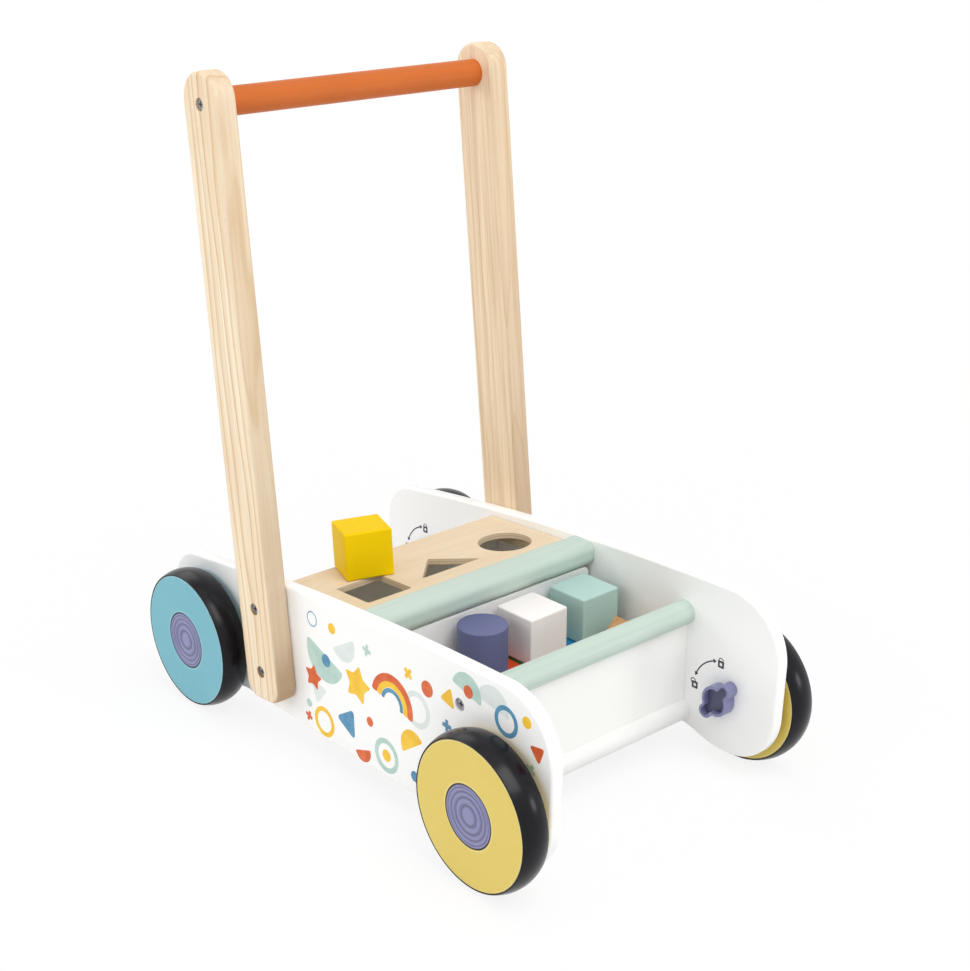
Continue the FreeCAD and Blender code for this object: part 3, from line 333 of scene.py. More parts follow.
# %% [markdown]
# ## Lacquered pine
# The rings alone would look printed. Real pine has four finer things on top of them, each a noise that
# is stretched along the post by its own amount: broad clouds of tone, streaks as long as a hand, fibres
# too fine to count, and short brown flecks where resin sits. They are laid over each other from the
# broadest to the finest, and heartwood and end grain come last. The loose roof block and the hidden
# cleats are of pine as well, so one finish with a few settings serves them all.

# %% Pine
CLOUDS, STREAKS, FIBRES, FLECKS = (40, 40, 7), (210, 210, 4.5), (900, 900, 14), (700, 700, 60)
RING_HEIGHT, FIBRE_HEIGHT = 0.0002, 0.00012    # metres


def pine(name, spring, summer, ring, across, start, lean=POST_LEAN, wander=0.5, lines=1.0, streaks=0.2,
         heart=0.0, dull=0.5):
    """Lacquered pine with year rings, streaks, fibres, short resin flecks, heartwood and end grain."""
    material, tree, shader = new_finish(name)
    turn = (lean, 0, 0)
    years = rings_of(tree, metres(tree, turn=turn), ring, across, start, wander)
    line = reckon(tree, "MULTIPLY", summer_lines(tree, years), lines)
    fibres = noise(tree, metres(tree, turn=turn, stretch=FIBRES), detail=4, rough=0.65)
    streak = noise(tree, metres(tree, turn=turn, stretch=STREAKS), detail=4, rough=0.6)
    flecks = noise(tree, metres(tree, turn=turn, stretch=FLECKS), detail=1)
    clouds = noise(tree, metres(tree, turn=turn, stretch=CLOUDS), detail=3)
    browner = shaded(summer, 0.78, 0.68, 0.56)
    ringed = blend(tree, line, spring, summer)
    clouded = blend(tree, spread(tree, clouds, 0.35, 0.75, 0, 0.30), ringed, summer)
    streaked = blend(tree, spread(tree, streak, 0.42, 0.70, 0, streaks), clouded, browner)
    fibrous = blend(tree, spread(tree, fibres, 0.42, 0.75, 0, 0.20), streaked, browner)
    flecked = blend(tree, spread(tree, flecks, 0.735, 0.80, 0, 0.5), fibrous, browner)
    hearted = blend(tree, heartwood(tree, lean, heart), flecked, shaded(spring, 0.50, 0.40, 0.33))
    tree.links.new(blend(tree, end_grain(tree, lean), hearted, browner), shader.inputs["Base Color"])
    ring_bump = raise_surface(tree, line, RING_HEIGHT, 0.12)
    tree.links.new(raise_surface(tree, fibres, FIBRE_HEIGHT, 0.4, ring_bump), shader.inputs["Normal"])
    tree.links.new(spread(tree, streak, 0.3, 0.7, dull - 0.05, dull + 0.06), shader.inputs["Roughness"])
    shader.inputs["Specular IOR Level"].default_value = 0.35
    return material


print("noises to the metre:", CLOUDS, STREAKS, FIBRES, FLECKS)

# %% The two posts and the cleats
pine_right = pine("pine_right", tone(250, 235, 208), tone(214, 175, 122), ring=0.0090, across=0.10,
                  start=0.15, wander=0.75, streaks=0.26, heart=1.25)
pine_left = pine("pine_left", tone(248, 230, 200), tone(219, 183, 137), ring=0.0052, across=0.40,
                 start=0.62, wander=1.6, lines=0.55, streaks=0.48, heart=1.55)
pine_bars = pine("pine_bars", tone(214, 196, 166), tone(204, 182, 148), ring=0.0034, across=0.5,
                 start=0.3, lean=0, streaks=0.15)
print("pine:", pine_right.name, pine_left.name, pine_bars.name)

# %% [markdown]
# ## The sorter's lid
# The lid is thin beech plywood under clear lacquer. Its face is one veneer, with short fine flecks along
# the grain, which runs across the walker. Where a hole or an edge cuts through the board the layers
# show: they are drawn as bands by the depth under the lid's top face, in coordinates turned by the
# lid's slope, so they stay flat in the board although the board isn't flat in the walker.

# %% Layers of the plywood
LID_SLOPE = math.radians(3.72)
LID_THICKNESS, LID_LAYERS = 0.006, 5


def dark_layers(tree, top):
    """Above 0 where a cut edge shows a dark layer. top is the height of the lid's face at Y = 0."""
    flat = metres(tree, turn=(LID_SLOPE, 0, 0), shift=(0, 0, -top * math.cos(LID_SLOPE)))
    # every second layer is dark, so one pale and one dark layer make a pair
    pairs = reckon(tree, "MULTIPLY", parts_of(tree, flat)["Z"], LID_LAYERS / LID_THICKNESS / 2)
    dark = spread(tree, reckon(tree, "FRACT", pairs), 0.47, 0.53, 0, 0.42)
    upright = parts_of(tree, add(tree, "TexCoord").outputs["Normal"])["Z"]
    cut = spread(tree, reckon(tree, "ABSOLUTE", upright), 0.35, 0.6, 1, 0)
    return reckon(tree, "MULTIPLY", dark, cut)


print(LID_LAYERS, "layers in", LID_THICKNESS * 1000, "mm")

# %% Beech plywood
VENEER_FLECKS, VENEER_FIGURE = (45, 900, 900), (3, 42, 42)    # to the metre
FLECK_HEIGHT = 0.0001                                         # metres


def beech_ply(name, pale, deep, top):
    """Beech veneer with flecks, and layers on cut edges."""
    material, tree, shader = new_finish(name)
    fine = noise(tree, metres(tree, stretch=VENEER_FLECKS), detail=4, rough=0.6)
    broad = noise(tree, metres(tree, stretch=VENEER_FIGURE), detail=4, rough=0.55)
    veneer = blend(tree, spread(tree, broad, 0.3, 0.75, 0, 0.65), pale, deep)
    darker = shaded(deep, 0.62)
    flecked = blend(tree, spread(tree, fine, 0.46, 0.78, 0, 0.30), veneer, darker)
    tree.links.new(blend(tree, dark_layers(tree, top), flecked, darker), shader.inputs["Base Color"])
    tree.links.new(raise_surface(tree, fine, FLECK_HEIGHT, 0.3), shader.inputs["Normal"])
    tree.links.new(spread(tree, broad, 0.3, 0.7, 0.42, 0.5), shader.inputs["Roughness"])
    return material


lid_low, lid_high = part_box("sorter_lid")
lid_middle = lid_high.z + math.tan(LID_SLOPE) * lid_low.y
lid_beech = beech_ply("lid_beech", tone(229, 210, 180), tone(219, 195, 158), lid_middle)
print("lid face at the middle of the wheelbase:", round(lid_middle * 1000, 1), "mm high")

# %% [markdown]
# ## Rubber, plastic and steel
# Tyres are black rubber with a satin skin. Moulded rubber keeps a little of the mould's grain and picks
# up dust, so its roughness and tone are uneven. The caps and knobs are a violet plastic with a fine matt
# skin. A knob is hollow, and little light reaches the bottom of its cup, so painted shade makes the
# plastic darker there, by its depth under the knob's face. Screws and bolts are zinc on steel, a
# real metal: all their colour is in the reflection.

# %% Tyre rubber
DUST_TO_METRE, MOULD_TO_METRE = 35, 1400
MOULD_HEIGHT = 0.00006      # metres


def rubber(name, black, dust):
    """Moulded black rubber."""
    material, tree, shader = new_finish(name)
    grain = noise(tree, metres(tree), scale=MOULD_TO_METRE, detail=3)
    patches = noise(tree, metres(tree), scale=DUST_TO_METRE, detail=4)
    dusty = blend(tree, spread(tree, patches, 0.4, 0.75, 0, 0.5), black, dust)
    tree.links.new(dusty, shader.inputs["Base Color"])
    tree.links.new(raise_surface(tree, grain, MOULD_HEIGHT, 0.5), shader.inputs["Normal"])
    tree.links.new(spread(tree, patches, 0.3, 0.75, 0.19, 0.27), shader.inputs["Roughness"])
    shader.inputs["Specular IOR Level"].default_value = 0.20
    return material


tyre_rubber = rubber("tyre_rubber", tone(17, 16, 21), tone(25, 24, 30))
print("rubber:", tyre_rubber.name)


# %% Plastic for caps, knobs and bushes
FLOW_TO_METRE, SKIN_TO_METRE = 45, 1800
SKIN_HEIGHT = 0.00004       # metres


def plastic(name, colour, dull=0.38):
    """Moulded plastic with a faint flow pattern and a fine matt texture."""
    material, tree, shader = new_finish(name)
    flow = noise(tree, metres(tree), scale=FLOW_TO_METRE, detail=3)
    skin = noise(tree, metres(tree), scale=SKIN_TO_METRE, detail=2)
    flowing = blend(tree, spread(tree, flow, 0.35, 0.7, 0, 0.6), colour, shaded(colour, 0.88))
    tree.links.new(flowing, shader.inputs["Base Color"])
    tree.links.new(raise_surface(tree, skin, SKIN_HEIGHT, 0.5), shader.inputs["Normal"])
    tree.links.new(spread(tree, flow, 0.3, 0.7, dull - 0.04, dull + 0.05), shader.inputs["Roughness"])
    shader.inputs["Specular IOR Level"].default_value = 0.4
    return material


white_plastic = plastic("white_plastic", tone(226, 226, 224), dull=0.35)
violet_plastic = plastic("violet_plastic", tone(133, 134, 172))
print("plastics:", white_plastic.name, violet_plastic.name)

# %% Painted shade in the knobs' hollow
HOLLOW_STARTS, HOLLOW_FLOOR = 0.002, 0.0045    # metres under the knob's face


def shade_hollow(material, deep, face, floor):
    """Paint shade on what looks along X, from none at one distance from the middle to all at another."""
    tree = material.node_tree
    shader = tree.nodes["Principled BSDF"]
    clean = shader.inputs["Base Color"].links[0].from_socket
    across = reckon(tree, "ABSOLUTE", parts_of(tree, metres(tree))["X"])
    share = reckon(tree, "MULTIPLY", spread(tree, across, face, floor, 0, 1),
                   faces(tree, (1, 0, 0), 0.3, 0.9))
    tree.links.new(blend(tree, share, clean, deep), shader.inputs["Base Color"])


knob_low, knob_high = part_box("brake_knob_front_left")
knob_face = min(abs(knob_low.x), abs(knob_high.x))
# painted shade at the bottom of each knob's cup, darker as it goes deeper
shade_hollow(violet_plastic, tone(84, 85, 112), knob_face + HOLLOW_STARTS, knob_face + HOLLOW_FLOOR)
print("knob faces at X =", round(knob_face * 1000, 1), "mm")


# %% Zinc
CRYSTALS_TO_METRE, BRUSH_TO_METRE = 900.0, 1500
BRUSH_HEIGHT = 0.00003      # metres


def zinc(name, colour):
    """Bright zinc on steel: small crystals change its shine."""
    material, tree, shader = new_finish(name)
    crystals = add(tree, "TexVoronoi", {"Vector": metres(tree), "Scale": CRYSTALS_TO_METRE})
    brushed = noise(tree, metres(tree), scale=BRUSH_TO_METRE, detail=3)
    share = spread(tree, crystals.outputs["Distance"], 0.1, 0.7, 0, 0.6)
    spangled = blend(tree, share, colour, shaded(colour, 0.75))
    tree.links.new(spangled, shader.inputs["Base Color"])
    tree.links.new(spread(tree, brushed, 0.3, 0.7, 0.24, 0.40), shader.inputs["Roughness"])
    tree.links.new(raise_surface(tree, brushed, BRUSH_HEIGHT, 0.4), shader.inputs["Normal"])
    shader.inputs["Metallic"].default_value = 1.0
    return material


zinc_steel = zinc("zinc_steel", tone(158, 159, 163))
print("zinc:", zinc_steel.name)

# %% [markdown]
# ## Rings on the wheels
# The caps' faces are turned into four soft rings. Their grooves are real, but shallow: in even light they
# hardly show. So painted shade makes the cap's plastic darker by the distance from its axle, at the radii
# of the grooves and at the rim. The painted discs get the same treatment: a painted highlight makes
# their two sharp edges pale, and painted shade darkens the narrow gap around the cap.

# %% Distance from the axles
def from_axles(tree, reach):
    """The distance from the nearest wheel's axle, as a share of reach times a cap's radius."""
    low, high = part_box("hub_cap_front_left")
    middle, radius = (low + high) / 2, (high.z - low.z) / 2 * reach
    parts = parts_of(tree, metres(tree))
    # the front and rear axles lie equally far from Y = 0, so Y without its sign serves for both
    back = reckon(tree, "ABSOLUTE", parts["Y"])
    run = reckon(tree, "MULTIPLY_ADD", back, 1 / radius, middle.y / radius)
    rise = reckon(tree, "MULTIPLY_ADD", parts["Z"], 1 / radius, -middle.z / radius)
    flat = add(tree, "CombineXYZ", {"X": run, "Y": rise}).outputs[0]
    return add(tree, "VectorMath", {0: flat}, operation="LENGTH").outputs["Value"]


def mark_rings(material, painted_tone, stops, reach=1.0):
    """Mix painted shade or a painted highlight into a finish's colour, by shares given at distances from
    the axle.
    """
    tree = material.node_tree
    shader = tree.nodes["Principled BSDF"]
    clean = shader.inputs["Base Color"].links[0].from_socket
    shares = grey_ramp(tree, from_axles(tree, reach), [(where / reach, share) for where, share in stops])
    tree.links.new(blend(tree, shares, clean, painted_tone), shader.inputs["Base Color"])


print("distances are measured in cap radii")

# %% Cap plastic
GROOVES = ((0.33, 0.09), (0.58, 0.08), (0.76, 0.06), (0.90, 0.02))    # radius and half the width
IN_GROOVE, BESIDE_GROOVE = 0.50, 0.03                                 # how much painted shade lies there
RIM_SHADE = [(0.955, 0.05), (0.985, 0.75)]
cap_plastic = plastic("cap_plastic", tone(138, 139, 179))
groove_shade = [(0.0, 0.0)]
for where, half in GROOVES:
    groove_shade += [(where - half, 0.0), (where, IN_GROOVE), (where + half, BESIDE_GROOVE)]
# painted shade in the cap's grooves and at its rim
mark_rings(cap_plastic, tone(42, 40, 62), groove_shade + RIM_SHADE)
print("cap plastic with", len(GROOVES), "rings")

# %% Edges of the discs
DISC_REACH = 2.5    # cap radii, past the rim of a disc
# how far the disc's rim is from its axle, also in cap radii
disc_edge = (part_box("wheel_disc_front_left")[1].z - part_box("hub_cap_front_left")[1].z) * 2
disc_rim = disc_edge / (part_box("hub_cap_front_left")[1].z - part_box("hub_cap_front_left")[0].z) + 1
# distances from the axle in cap radii, and how much painted highlight lies there
EDGE_HIGHLIGHT = [(0.0, 0.0), (1.04, 0.0), (1.06, 0.55), (1.09, 0.0),
              (disc_rim - 0.06, 0.0), (disc_rim - 0.02, 0.55)]
# painted shade in the narrow gap between the disc and its cap
GAP_SHADE = [(0.0, 0.8), (1.022, 0.8), (1.038, 0.0)]
# a painted highlight on each disc's two edges, then painted shade around its cap
for disc_paint, pale in ((yellow_paint, tone(246, 232, 176)), (turquoise_paint, tone(186, 222, 228))):
    mark_rings(disc_paint, pale, EDGE_HIGHLIGHT, DISC_REACH)
    mark_rings(disc_paint, tone(48, 42, 40), GAP_SHADE, DISC_REACH)
print("disc rim at", round(disc_rim, 3), "cap radii")

# %% [markdown]
# ## Each part gets its finish
# The parts from the drawing keep their shape, so only their material slots change. One table says
# which finish each part takes, by the start of its name. Where two entries fit, the longer one counts,
# and a part with no entry would stop the lesson here.

# %% Finish the parts
wood_block = pine("block_natural_pine", tone(222, 184, 132), tone(186, 138, 84), ring=0.006, across=0.9,
                  start=0.4, lean=0)
FINISH = {
    "side_panel": white_paint, "handle_post_right": pine_right, "handle_post_left": pine_left,
    "push_bar": bar_paint, "push_bar_screws": zinc_steel, "sorter_lid": lid_beech,
    "sorter_rail": mint_paint, "tray_divider": tray_white_lightened, "top_front_rod": mint_paint,
    "low_front_rod": rod_white_darkened, "front_panel": white_across, "floor_board": floor_white,
    "rear_wall": white_across, "lid_cleats": pine_bars, "divider_cleats": pine_bars,
    "rail_pins": pine_bars, "post_screws": zinc_steel, "rod_screws": zinc_steel,
    "axle_bolts": zinc_steel, "wheel_spacers": white_plastic, "wheel_bush": white_plastic,
    "wheel_disc_front": yellow_paint, "wheel_disc_rear": turquoise_paint, "tyre": tyre_rubber,
    "hub_cap": cap_plastic, "brake_knob": violet_plastic, "knob_nut": zinc_steel,
    "block_natural_roof": wood_block}
for colour, finish in block_paint.items():
    FINISH[f"block_{colour}"] = finish


def put_finish(part, material):
    """Replace all the material slots of a part with one material."""
    part.data.materials.clear()
    part.data.materials.append(material)


for name, part in nodes.items():
    best = max((start for start in FINISH if name.startswith(start)), key=len)
    put_finish(part, FINISH[best])
print("finished", len(nodes), "parts with", len(set(FINISH.values())), "materials")

# %% [markdown]
# ## Prints on the panels
# The outside of each panel is printed with simple shapes before the walker is put together: rings, dots,
# stars, half-discs and small rainbows. The shapes could be drawn inside the paint's nodes, but then each
# one is a row of sums. Cut from a flat sheet they are easy to place, and their edges stay sharp from any
# distance. Each motif is modelled once, flat and one metre in radius, so that every step can be read in
# its numbers, and a printed copy is scaled down to its size.

# %% Helpers for flat motifs
def start_flat(shape, **options):
    """Add a flat primitive by itself and go into its points."""
    bpy.ops.object.select_all(action="DESELECT")
    shape(location=(0, 0, 0), **options)
    bpy.ops.object.mode_set(mode="EDIT")
    bpy.ops.mesh.select_mode(type="VERT")
    return bpy.context.object


def pick(piece, wanted):
    """Select the points whose place passes a test, and nothing else."""
    points = bmesh.from_edit_mesh(piece.data)
    for point in points.verts:
        point.select_set(wanted(point.co))
    points.select_flush_mode()
    bmesh.update_edit_mesh(piece.data)


def end_flat(piece, name):
    """Leave edit mode and name the motif."""
    bpy.ops.object.mode_set(mode="OBJECT")
    piece.name = f"motif_{name}"
    return piece


motifs = {}
print("motifs so far:", len(motifs))

# %% [markdown]
# ## Dots, rings and half-discs
# All three start as a filled circle. A ring is a circle with its face inset and the middle taken out. A
# half-disc is a circle bisected through its centre, with the two corners bevelled so that they look
# printed and not cut with a knife. A rainbow's band is a ring bisected in the same way.


# %% Round motifs
ROUND = 72              # points of a circle
CUT_AT = 0.001          # just above the centre, so that no point of the circle lies on the cut


def cut_circle(name, band=None, halved=False, corner=0.0):
    """A disc, or a ring if it has a band, halved or whole."""
    piece = start_flat(bpy.ops.mesh.primitive_circle_add, vertices=ROUND, radius=1, fill_type="NGON")
    if band:
        bpy.ops.mesh.select_all(action="SELECT")
        bpy.ops.mesh.inset(thickness=band)
        bpy.ops.mesh.delete(type="FACE")
    if halved:
        bpy.ops.mesh.select_all(action="SELECT")
        bpy.ops.mesh.bisect(plane_co=(0, CUT_AT, 0), plane_no=(0, 1, 0), clear_inner=True)
    if corner:
        pick(piece, lambda place: place.y < CUT_AT * 10)
        bpy.ops.mesh.bevel(offset=corner, segments=5, affect="VERTICES")
    motifs[name] = end_flat(piece, name)


cut_circle("dot")
cut_circle("ring", band=0.30)
cut_circle("fine_ring", band=0.14)
cut_circle("half", halved=True, corner=0.14)
cut_circle("band", band=0.27, halved=True, corner=0.09)
print("round motifs:", list(motifs))

# %% [markdown]
# ## Stars, triangles and crosses
# A star is a circle of only ten points: every second one is pulled in towards the centre. A triangle is a
# circle of three. A cross is a grid of nine squares without its corner squares. In the end the corners
# of all three are rounded with one bevel of their points.


# %% A star
STAR_ARMS, STAR_WAIST = 5, 0.56


def cut_star():
    """A soft star."""
    piece = start_flat(bpy.ops.mesh.primitive_circle_add, vertices=2 * STAR_ARMS, radius=1,
                       fill_type="NGON")
    turns = [math.radians(90 + 360 / STAR_ARMS * arm) for arm in range(STAR_ARMS)]
    tips = [Vector((math.cos(turn), math.sin(turn))) for turn in turns]
    pick(piece, lambda place: all((place.xy - tip).length > 0.1 for tip in tips))
    bpy.ops.transform.resize(value=(STAR_WAIST, STAR_WAIST, 1), center_override=(0, 0, 0))
    bpy.ops.mesh.select_all(action="SELECT")
    bpy.ops.mesh.bevel(offset=0.12, segments=4, affect="VERTICES")
    motifs["star"] = end_flat(piece, "star")


cut_star()
print("a star of", STAR_ARMS, "arms, with", len(motifs["star"].data.vertices), "points round its edge")


# %% A triangle and a cross
def cut_triangle():
    """A triangle with round corners."""
    piece = start_flat(bpy.ops.mesh.primitive_circle_add, vertices=3, radius=1, fill_type="NGON")
    bpy.ops.mesh.select_all(action="SELECT")
    bpy.ops.mesh.bevel(offset=0.34, segments=8, affect="VERTICES")
    motifs["triangle"] = end_flat(piece, "triangle")


def cut_cross():
    """A plus sign with round corners."""
    piece = start_flat(bpy.ops.mesh.primitive_grid_add, x_subdivisions=3, y_subdivisions=3, size=2)
    bpy.ops.mesh.select_mode(type="FACE")
    squares = bmesh.from_edit_mesh(piece.data)
    for square in squares.faces:
        middle = square.calc_center_median()
        square.select_set(abs(middle.x) > 0.5 and abs(middle.y) > 0.5)
    bmesh.update_edit_mesh(piece.data)
    bpy.ops.mesh.delete(type="FACE")
    bpy.ops.mesh.select_mode(type="VERT")
    bpy.ops.mesh.select_all(action="SELECT")
    bpy.ops.mesh.dissolve_faces()
    bpy.ops.mesh.bevel(offset=0.16, segments=4, affect="VERTICES")
    motifs["cross"] = end_flat(piece, "cross")


cut_triangle()
cut_cross()
print("pointed motifs:", list(motifs)[-3:])

# %% [markdown]
# ## A layout for the prints
# Each entry places one motif: how far behind the walker's middle and how high its centre is, its radius,
# all in millimetres, and how far it is turned, in degrees. Large shapes come first and small ones fill
# the gaps between them, with about the same bare white around each. Most of the area behind the wheels
# stays empty. Inks lie on each other in a fixed order, so an orange dot lies on top of a mint half-disc.

# %% The layout
LAYOUT = {
    "mist": [("half", -2, 116, 15, 150), ("ring", -92, 96, 15, 0), ("half", -176, 132, 17, 10),
             ("triangle", 33, 62, 13, 70), ("fine_ring", 118, 62, 11, 0)],
    "mint": [("half", 22, 98, 24, 200), ("ring", -54, 41, 14.5, 0), ("half", -148, 132, 16, 15),
             ("dot", 104, 36, 8, 0), ("cross", -32, 122, 5, 12), ("star", -110, 60, 11, 20),
             ("dot", 46, 46, 3.5, 0), ("cross", -215, 100, 5, 30)],
    "blue": [("band", -62, 88, 13.2, 12), ("triangle", -6, 50, 15.5, 28), ("ring", -190, 127, 12, 0),
             ("dot", 21, 93, 5.5, 0), ("half", 114, 86, 13, 75), ("fine_ring", 38, 123, 6.5, 0),
             ("dot", -88, 38, 4.5, 0), ("cross", -126, 97, 5, 0)],
    "orange": [("band", -62, 88, 25, 12), ("star", 39, 72, 11.5, 8), ("half", -24, 33, 10, 160),
               ("dot", -104, 118, 6.5, 0), ("ring", 106, 56, 7.5, 0), ("triangle", -222, 116, 9, 50),
               ("dot", -34, 62, 4, 0), ("dot", -150, 134, 5, 0), ("cross", 47, 34, 4.5, 20)],
    "yellow": [("band", -62, 88, 18.6, 12), ("star", -19, 88, 17, 10), ("ring", 26, 37, 13, 0),
               ("half", -86, 62, 14, -35), ("dot", -54, 41, 5, 0), ("triangle", -128, 120, 10, 15),
               ("dot", 12, 124, 4.5, 0), ("dot", -211, 135, 4.5, 0), ("dot", 118, 108, 4, 0),
               ("cross", -82, 122, 5, 40), ("dot", -110, 60, 3.6, 0)]}
print("prints for each panel:", sum(len(rows) for rows in LAYOUT.values()))

# %% [markdown]
# ## Ink
# Ink for toys is opaque, a little duller than the paint around it, and soaks in unevenly, so it clouds
# like watercolour and its tone falls off in small patches. The paint's orange peel shows through it.

# %% Inks
POOLS_TO_METRE, SPECKS_TO_METRE = 90, 1600


def ink(name, colour, deeper):
    """Clouded ink on sprayed paint."""
    material, tree, shader = new_finish(name)
    pools = noise(tree, metres(tree), scale=POOLS_TO_METRE, detail=4, rough=0.6)
    specks = noise(tree, metres(tree), scale=SPECKS_TO_METRE, detail=2)
    clouded = blend(tree, spread(tree, pools, 0.38, 0.68, 0, 0.75), colour, deeper)
    worn = blend(tree, spread(tree, specks, 0.62, 0.80, 0, 0.30), clouded, tone(246, 244, 238))
    tree.links.new(worn, shader.inputs["Base Color"])
    film = noise(tree, metres(tree), scale=PEEL_TO_METRE, detail=2)
    tree.links.new(raise_surface(tree, film, PEEL_HEIGHT, 0.5), shader.inputs["Normal"])
    tree.links.new(spread(tree, pools, 0.3, 0.7, 0.42, 0.52), shader.inputs["Roughness"])
    shader.inputs["Specular IOR Level"].default_value = 0.35
    return material


# each ink, and how high its film stands on the panel, in millimetres
INKS = {"mist": (ink("ink_mist", tone(226, 233, 230), tone(214, 225, 221)), 0.04),
        "mint": (ink("ink_mint", tone(188, 214, 204), tone(166, 198, 188)), 0.05),
        "blue": (ink("ink_blue", tone(92, 153, 186), tone(62, 122, 164)), 0.07),
        "orange": (ink("ink_orange", tone(224, 108, 52), tone(198, 78, 34)), 0.09),
        "yellow": (ink("ink_yellow", tone(247, 202, 52), tone(238, 180, 30)), 0.11)}
print("inks:", list(INKS))

# %% [markdown]
# ## Laying the prints
# A print is a film of ink that stands a little above the paint. A picture on the panel would show no
# edge at all, so the film is a real sheet. Every copy of a motif is turned and scaled, then stood up in
# the panel's plane, and its transform is applied, so that its place is in its mesh. The copies of one
# colour are joined and extruded outwards by the height of their film.

# %% Helpers for prints
UPRIGHT = Matrix.Rotation(math.radians(90), 4, "Z") @ Matrix.Rotation(math.radians(90), 4, "X")


def lay_copy(motif, place, radius, turn):
    """A copy of a flat motif, stood up in the plane of the panels, its transform applied."""
    bpy.ops.object.select_all(action="DESELECT")
    bpy.context.view_layer.objects.active = motif
    motif.select_set(True)
    bpy.ops.object.duplicate()
    copy = bpy.context.object
    spun = Matrix.Rotation(math.radians(turn), 4, "Z") @ Matrix.Scale(radius, 4)
    copy.matrix_world = Matrix.Translation(place) @ UPRIGHT @ spun
    bpy.ops.object.transform_apply(location=True, rotation=True, scale=True)
    return copy


def thicken(pieces, name, material, thickness):
    """Join flat copies, give them a thickness along X and close them."""
    bpy.ops.object.select_all(action="DESELECT")
    for piece in pieces:
        piece.select_set(True)
    bpy.context.view_layer.objects.active = pieces[0]
    if len(pieces) > 1:
        bpy.ops.object.join()
    sheet = bpy.context.object
    sheet.name = name
    bpy.ops.object.mode_set(mode="EDIT")
    bpy.ops.mesh.select_all(action="SELECT")
    bpy.ops.mesh.extrude_region_move(TRANSFORM_OT_translate={"value": (thickness, 0, 0)})
    bpy.ops.mesh.select_all(action="SELECT")
    bpy.ops.mesh.normals_make_consistent(inside=False)
    bpy.ops.object.mode_set(mode="OBJECT")
    put_finish(sheet, material)
    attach(sheet, "walker")
    return sheet


print("the top of a motif that is stood up faces", [round(part) for part in UPRIGHT @ Vector((0, 0, 1))])

# %% Print both panels
PANEL_SIDES = {}    # outwards along X, and the X of the outer and of the inner face
for side, sign in (("left", 1), ("right", -1)):
    low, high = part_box(f"side_panel_{side}")
    PANEL_SIDES[side] = (sign, high.x, low.x) if sign > 0 else (sign, low.x, high.x)

for side, (sign, outside, _) in PANEL_SIDES.items():
    for colour, (material, height) in INKS.items():
        copies = [lay_copy(motifs[motif], (outside, back / 1000, up / 1000), radius / 1000, turn)
                  for motif, back, up, radius, turn in LAYOUT[colour]]
        thicken(copies, f"print_{colour}_{side}", material, sign * height / 1000)
    print("printed the", side, "panel, outside at X =", round(outside, 4))

# %% [markdown]
# ## Signs for the brakes
# Inside the panels, small signs above each knob show how it works: an open padlock, a closed padlock and
# a curved arrow between them. A padlock is a square whose face is inset and taken out, with its points
# bevelled, under half a ring for the shackle. The open one's shackle is swung aside.

# %% Signs
ARC_ROUND = 160     # points of the circle that an arc is cut from


def cut_lock_body():
    """The body of a padlock: a rounded square with a keyhole."""
    piece = start_flat(bpy.ops.mesh.primitive_plane_add, size=2)
    bpy.ops.mesh.select_all(action="SELECT")
    bpy.ops.mesh.inset(thickness=0.60)
    bpy.ops.mesh.delete(type="FACE")
    pick(piece, lambda place: abs(place.x) > 0.9)
    bpy.ops.mesh.bevel(offset=0.3, segments=5, affect="VERTICES")
    motifs["lock_body"] = end_flat(piece, "lock_body")


def cut_arc(name, band, spans, legs=0.0):
    """A part of a ring that spans some degrees about its top. Legs lengthen its two ends."""
    piece = start_flat(bpy.ops.mesh.primitive_circle_add, vertices=ARC_ROUND, radius=1, fill_type="NGON")
    bpy.ops.mesh.select_all(action="SELECT")
    bpy.ops.mesh.inset(thickness=band)
    bpy.ops.mesh.delete(type="FACE")
    half = math.radians(spans / 2)
    for way in (-1, 1):
        bpy.ops.mesh.select_all(action="SELECT")
        bpy.ops.mesh.bisect(plane_co=(0, 0, 0), plane_no=(way * math.cos(half), -math.sin(half), 0),
                            clear_outer=True)
    if legs:
        pick(piece, lambda place: place.y < 0.05)
        bpy.ops.transform.translate(value=(0, -legs, 0))
    motifs[name] = end_flat(piece, name)


cut_lock_body()
cut_arc("shackle", band=0.30, spans=178, legs=0.6)
cut_arc("sweep", band=0.038, spans=50)
print("signs:", list(motifs)[-3:])


# %% Where the signs lie
def from_axle(axle, angle, radius):
    """A place on the panel, by its angle from straight back and its distance from the axle."""
    turn = math.radians(angle)
    return axle[0] + radius * math.cos(turn), axle[1] + radius * math.sin(turn)


# a padlock's angle and distance from the axle, and how far its shackle is swung open, in degrees
PADLOCKS = ((4, 0.0292, 34), (84, 0.0300, 0))
LOCK_SIZE, LOCK_DROP = 0.0031, 0.0018           # metres
SHACKLE_SIZE, SHACKLE_RISE = 0.0027, 0.0012
# the curved arrow's middle in degrees, its radius, and its heads' radius and size in metres
SWEEP_ANGLE, SWEEP_RADIUS, HEAD_RADIUS, HEAD_SIZE = 46, 0.0308, 0.0303, 0.0024
ARROW_HEADS = ((21, 21 - 180), (71, 71))        # where each head is, and how far it is turned
SIGN_HEIGHT = 0.00006                           # metres


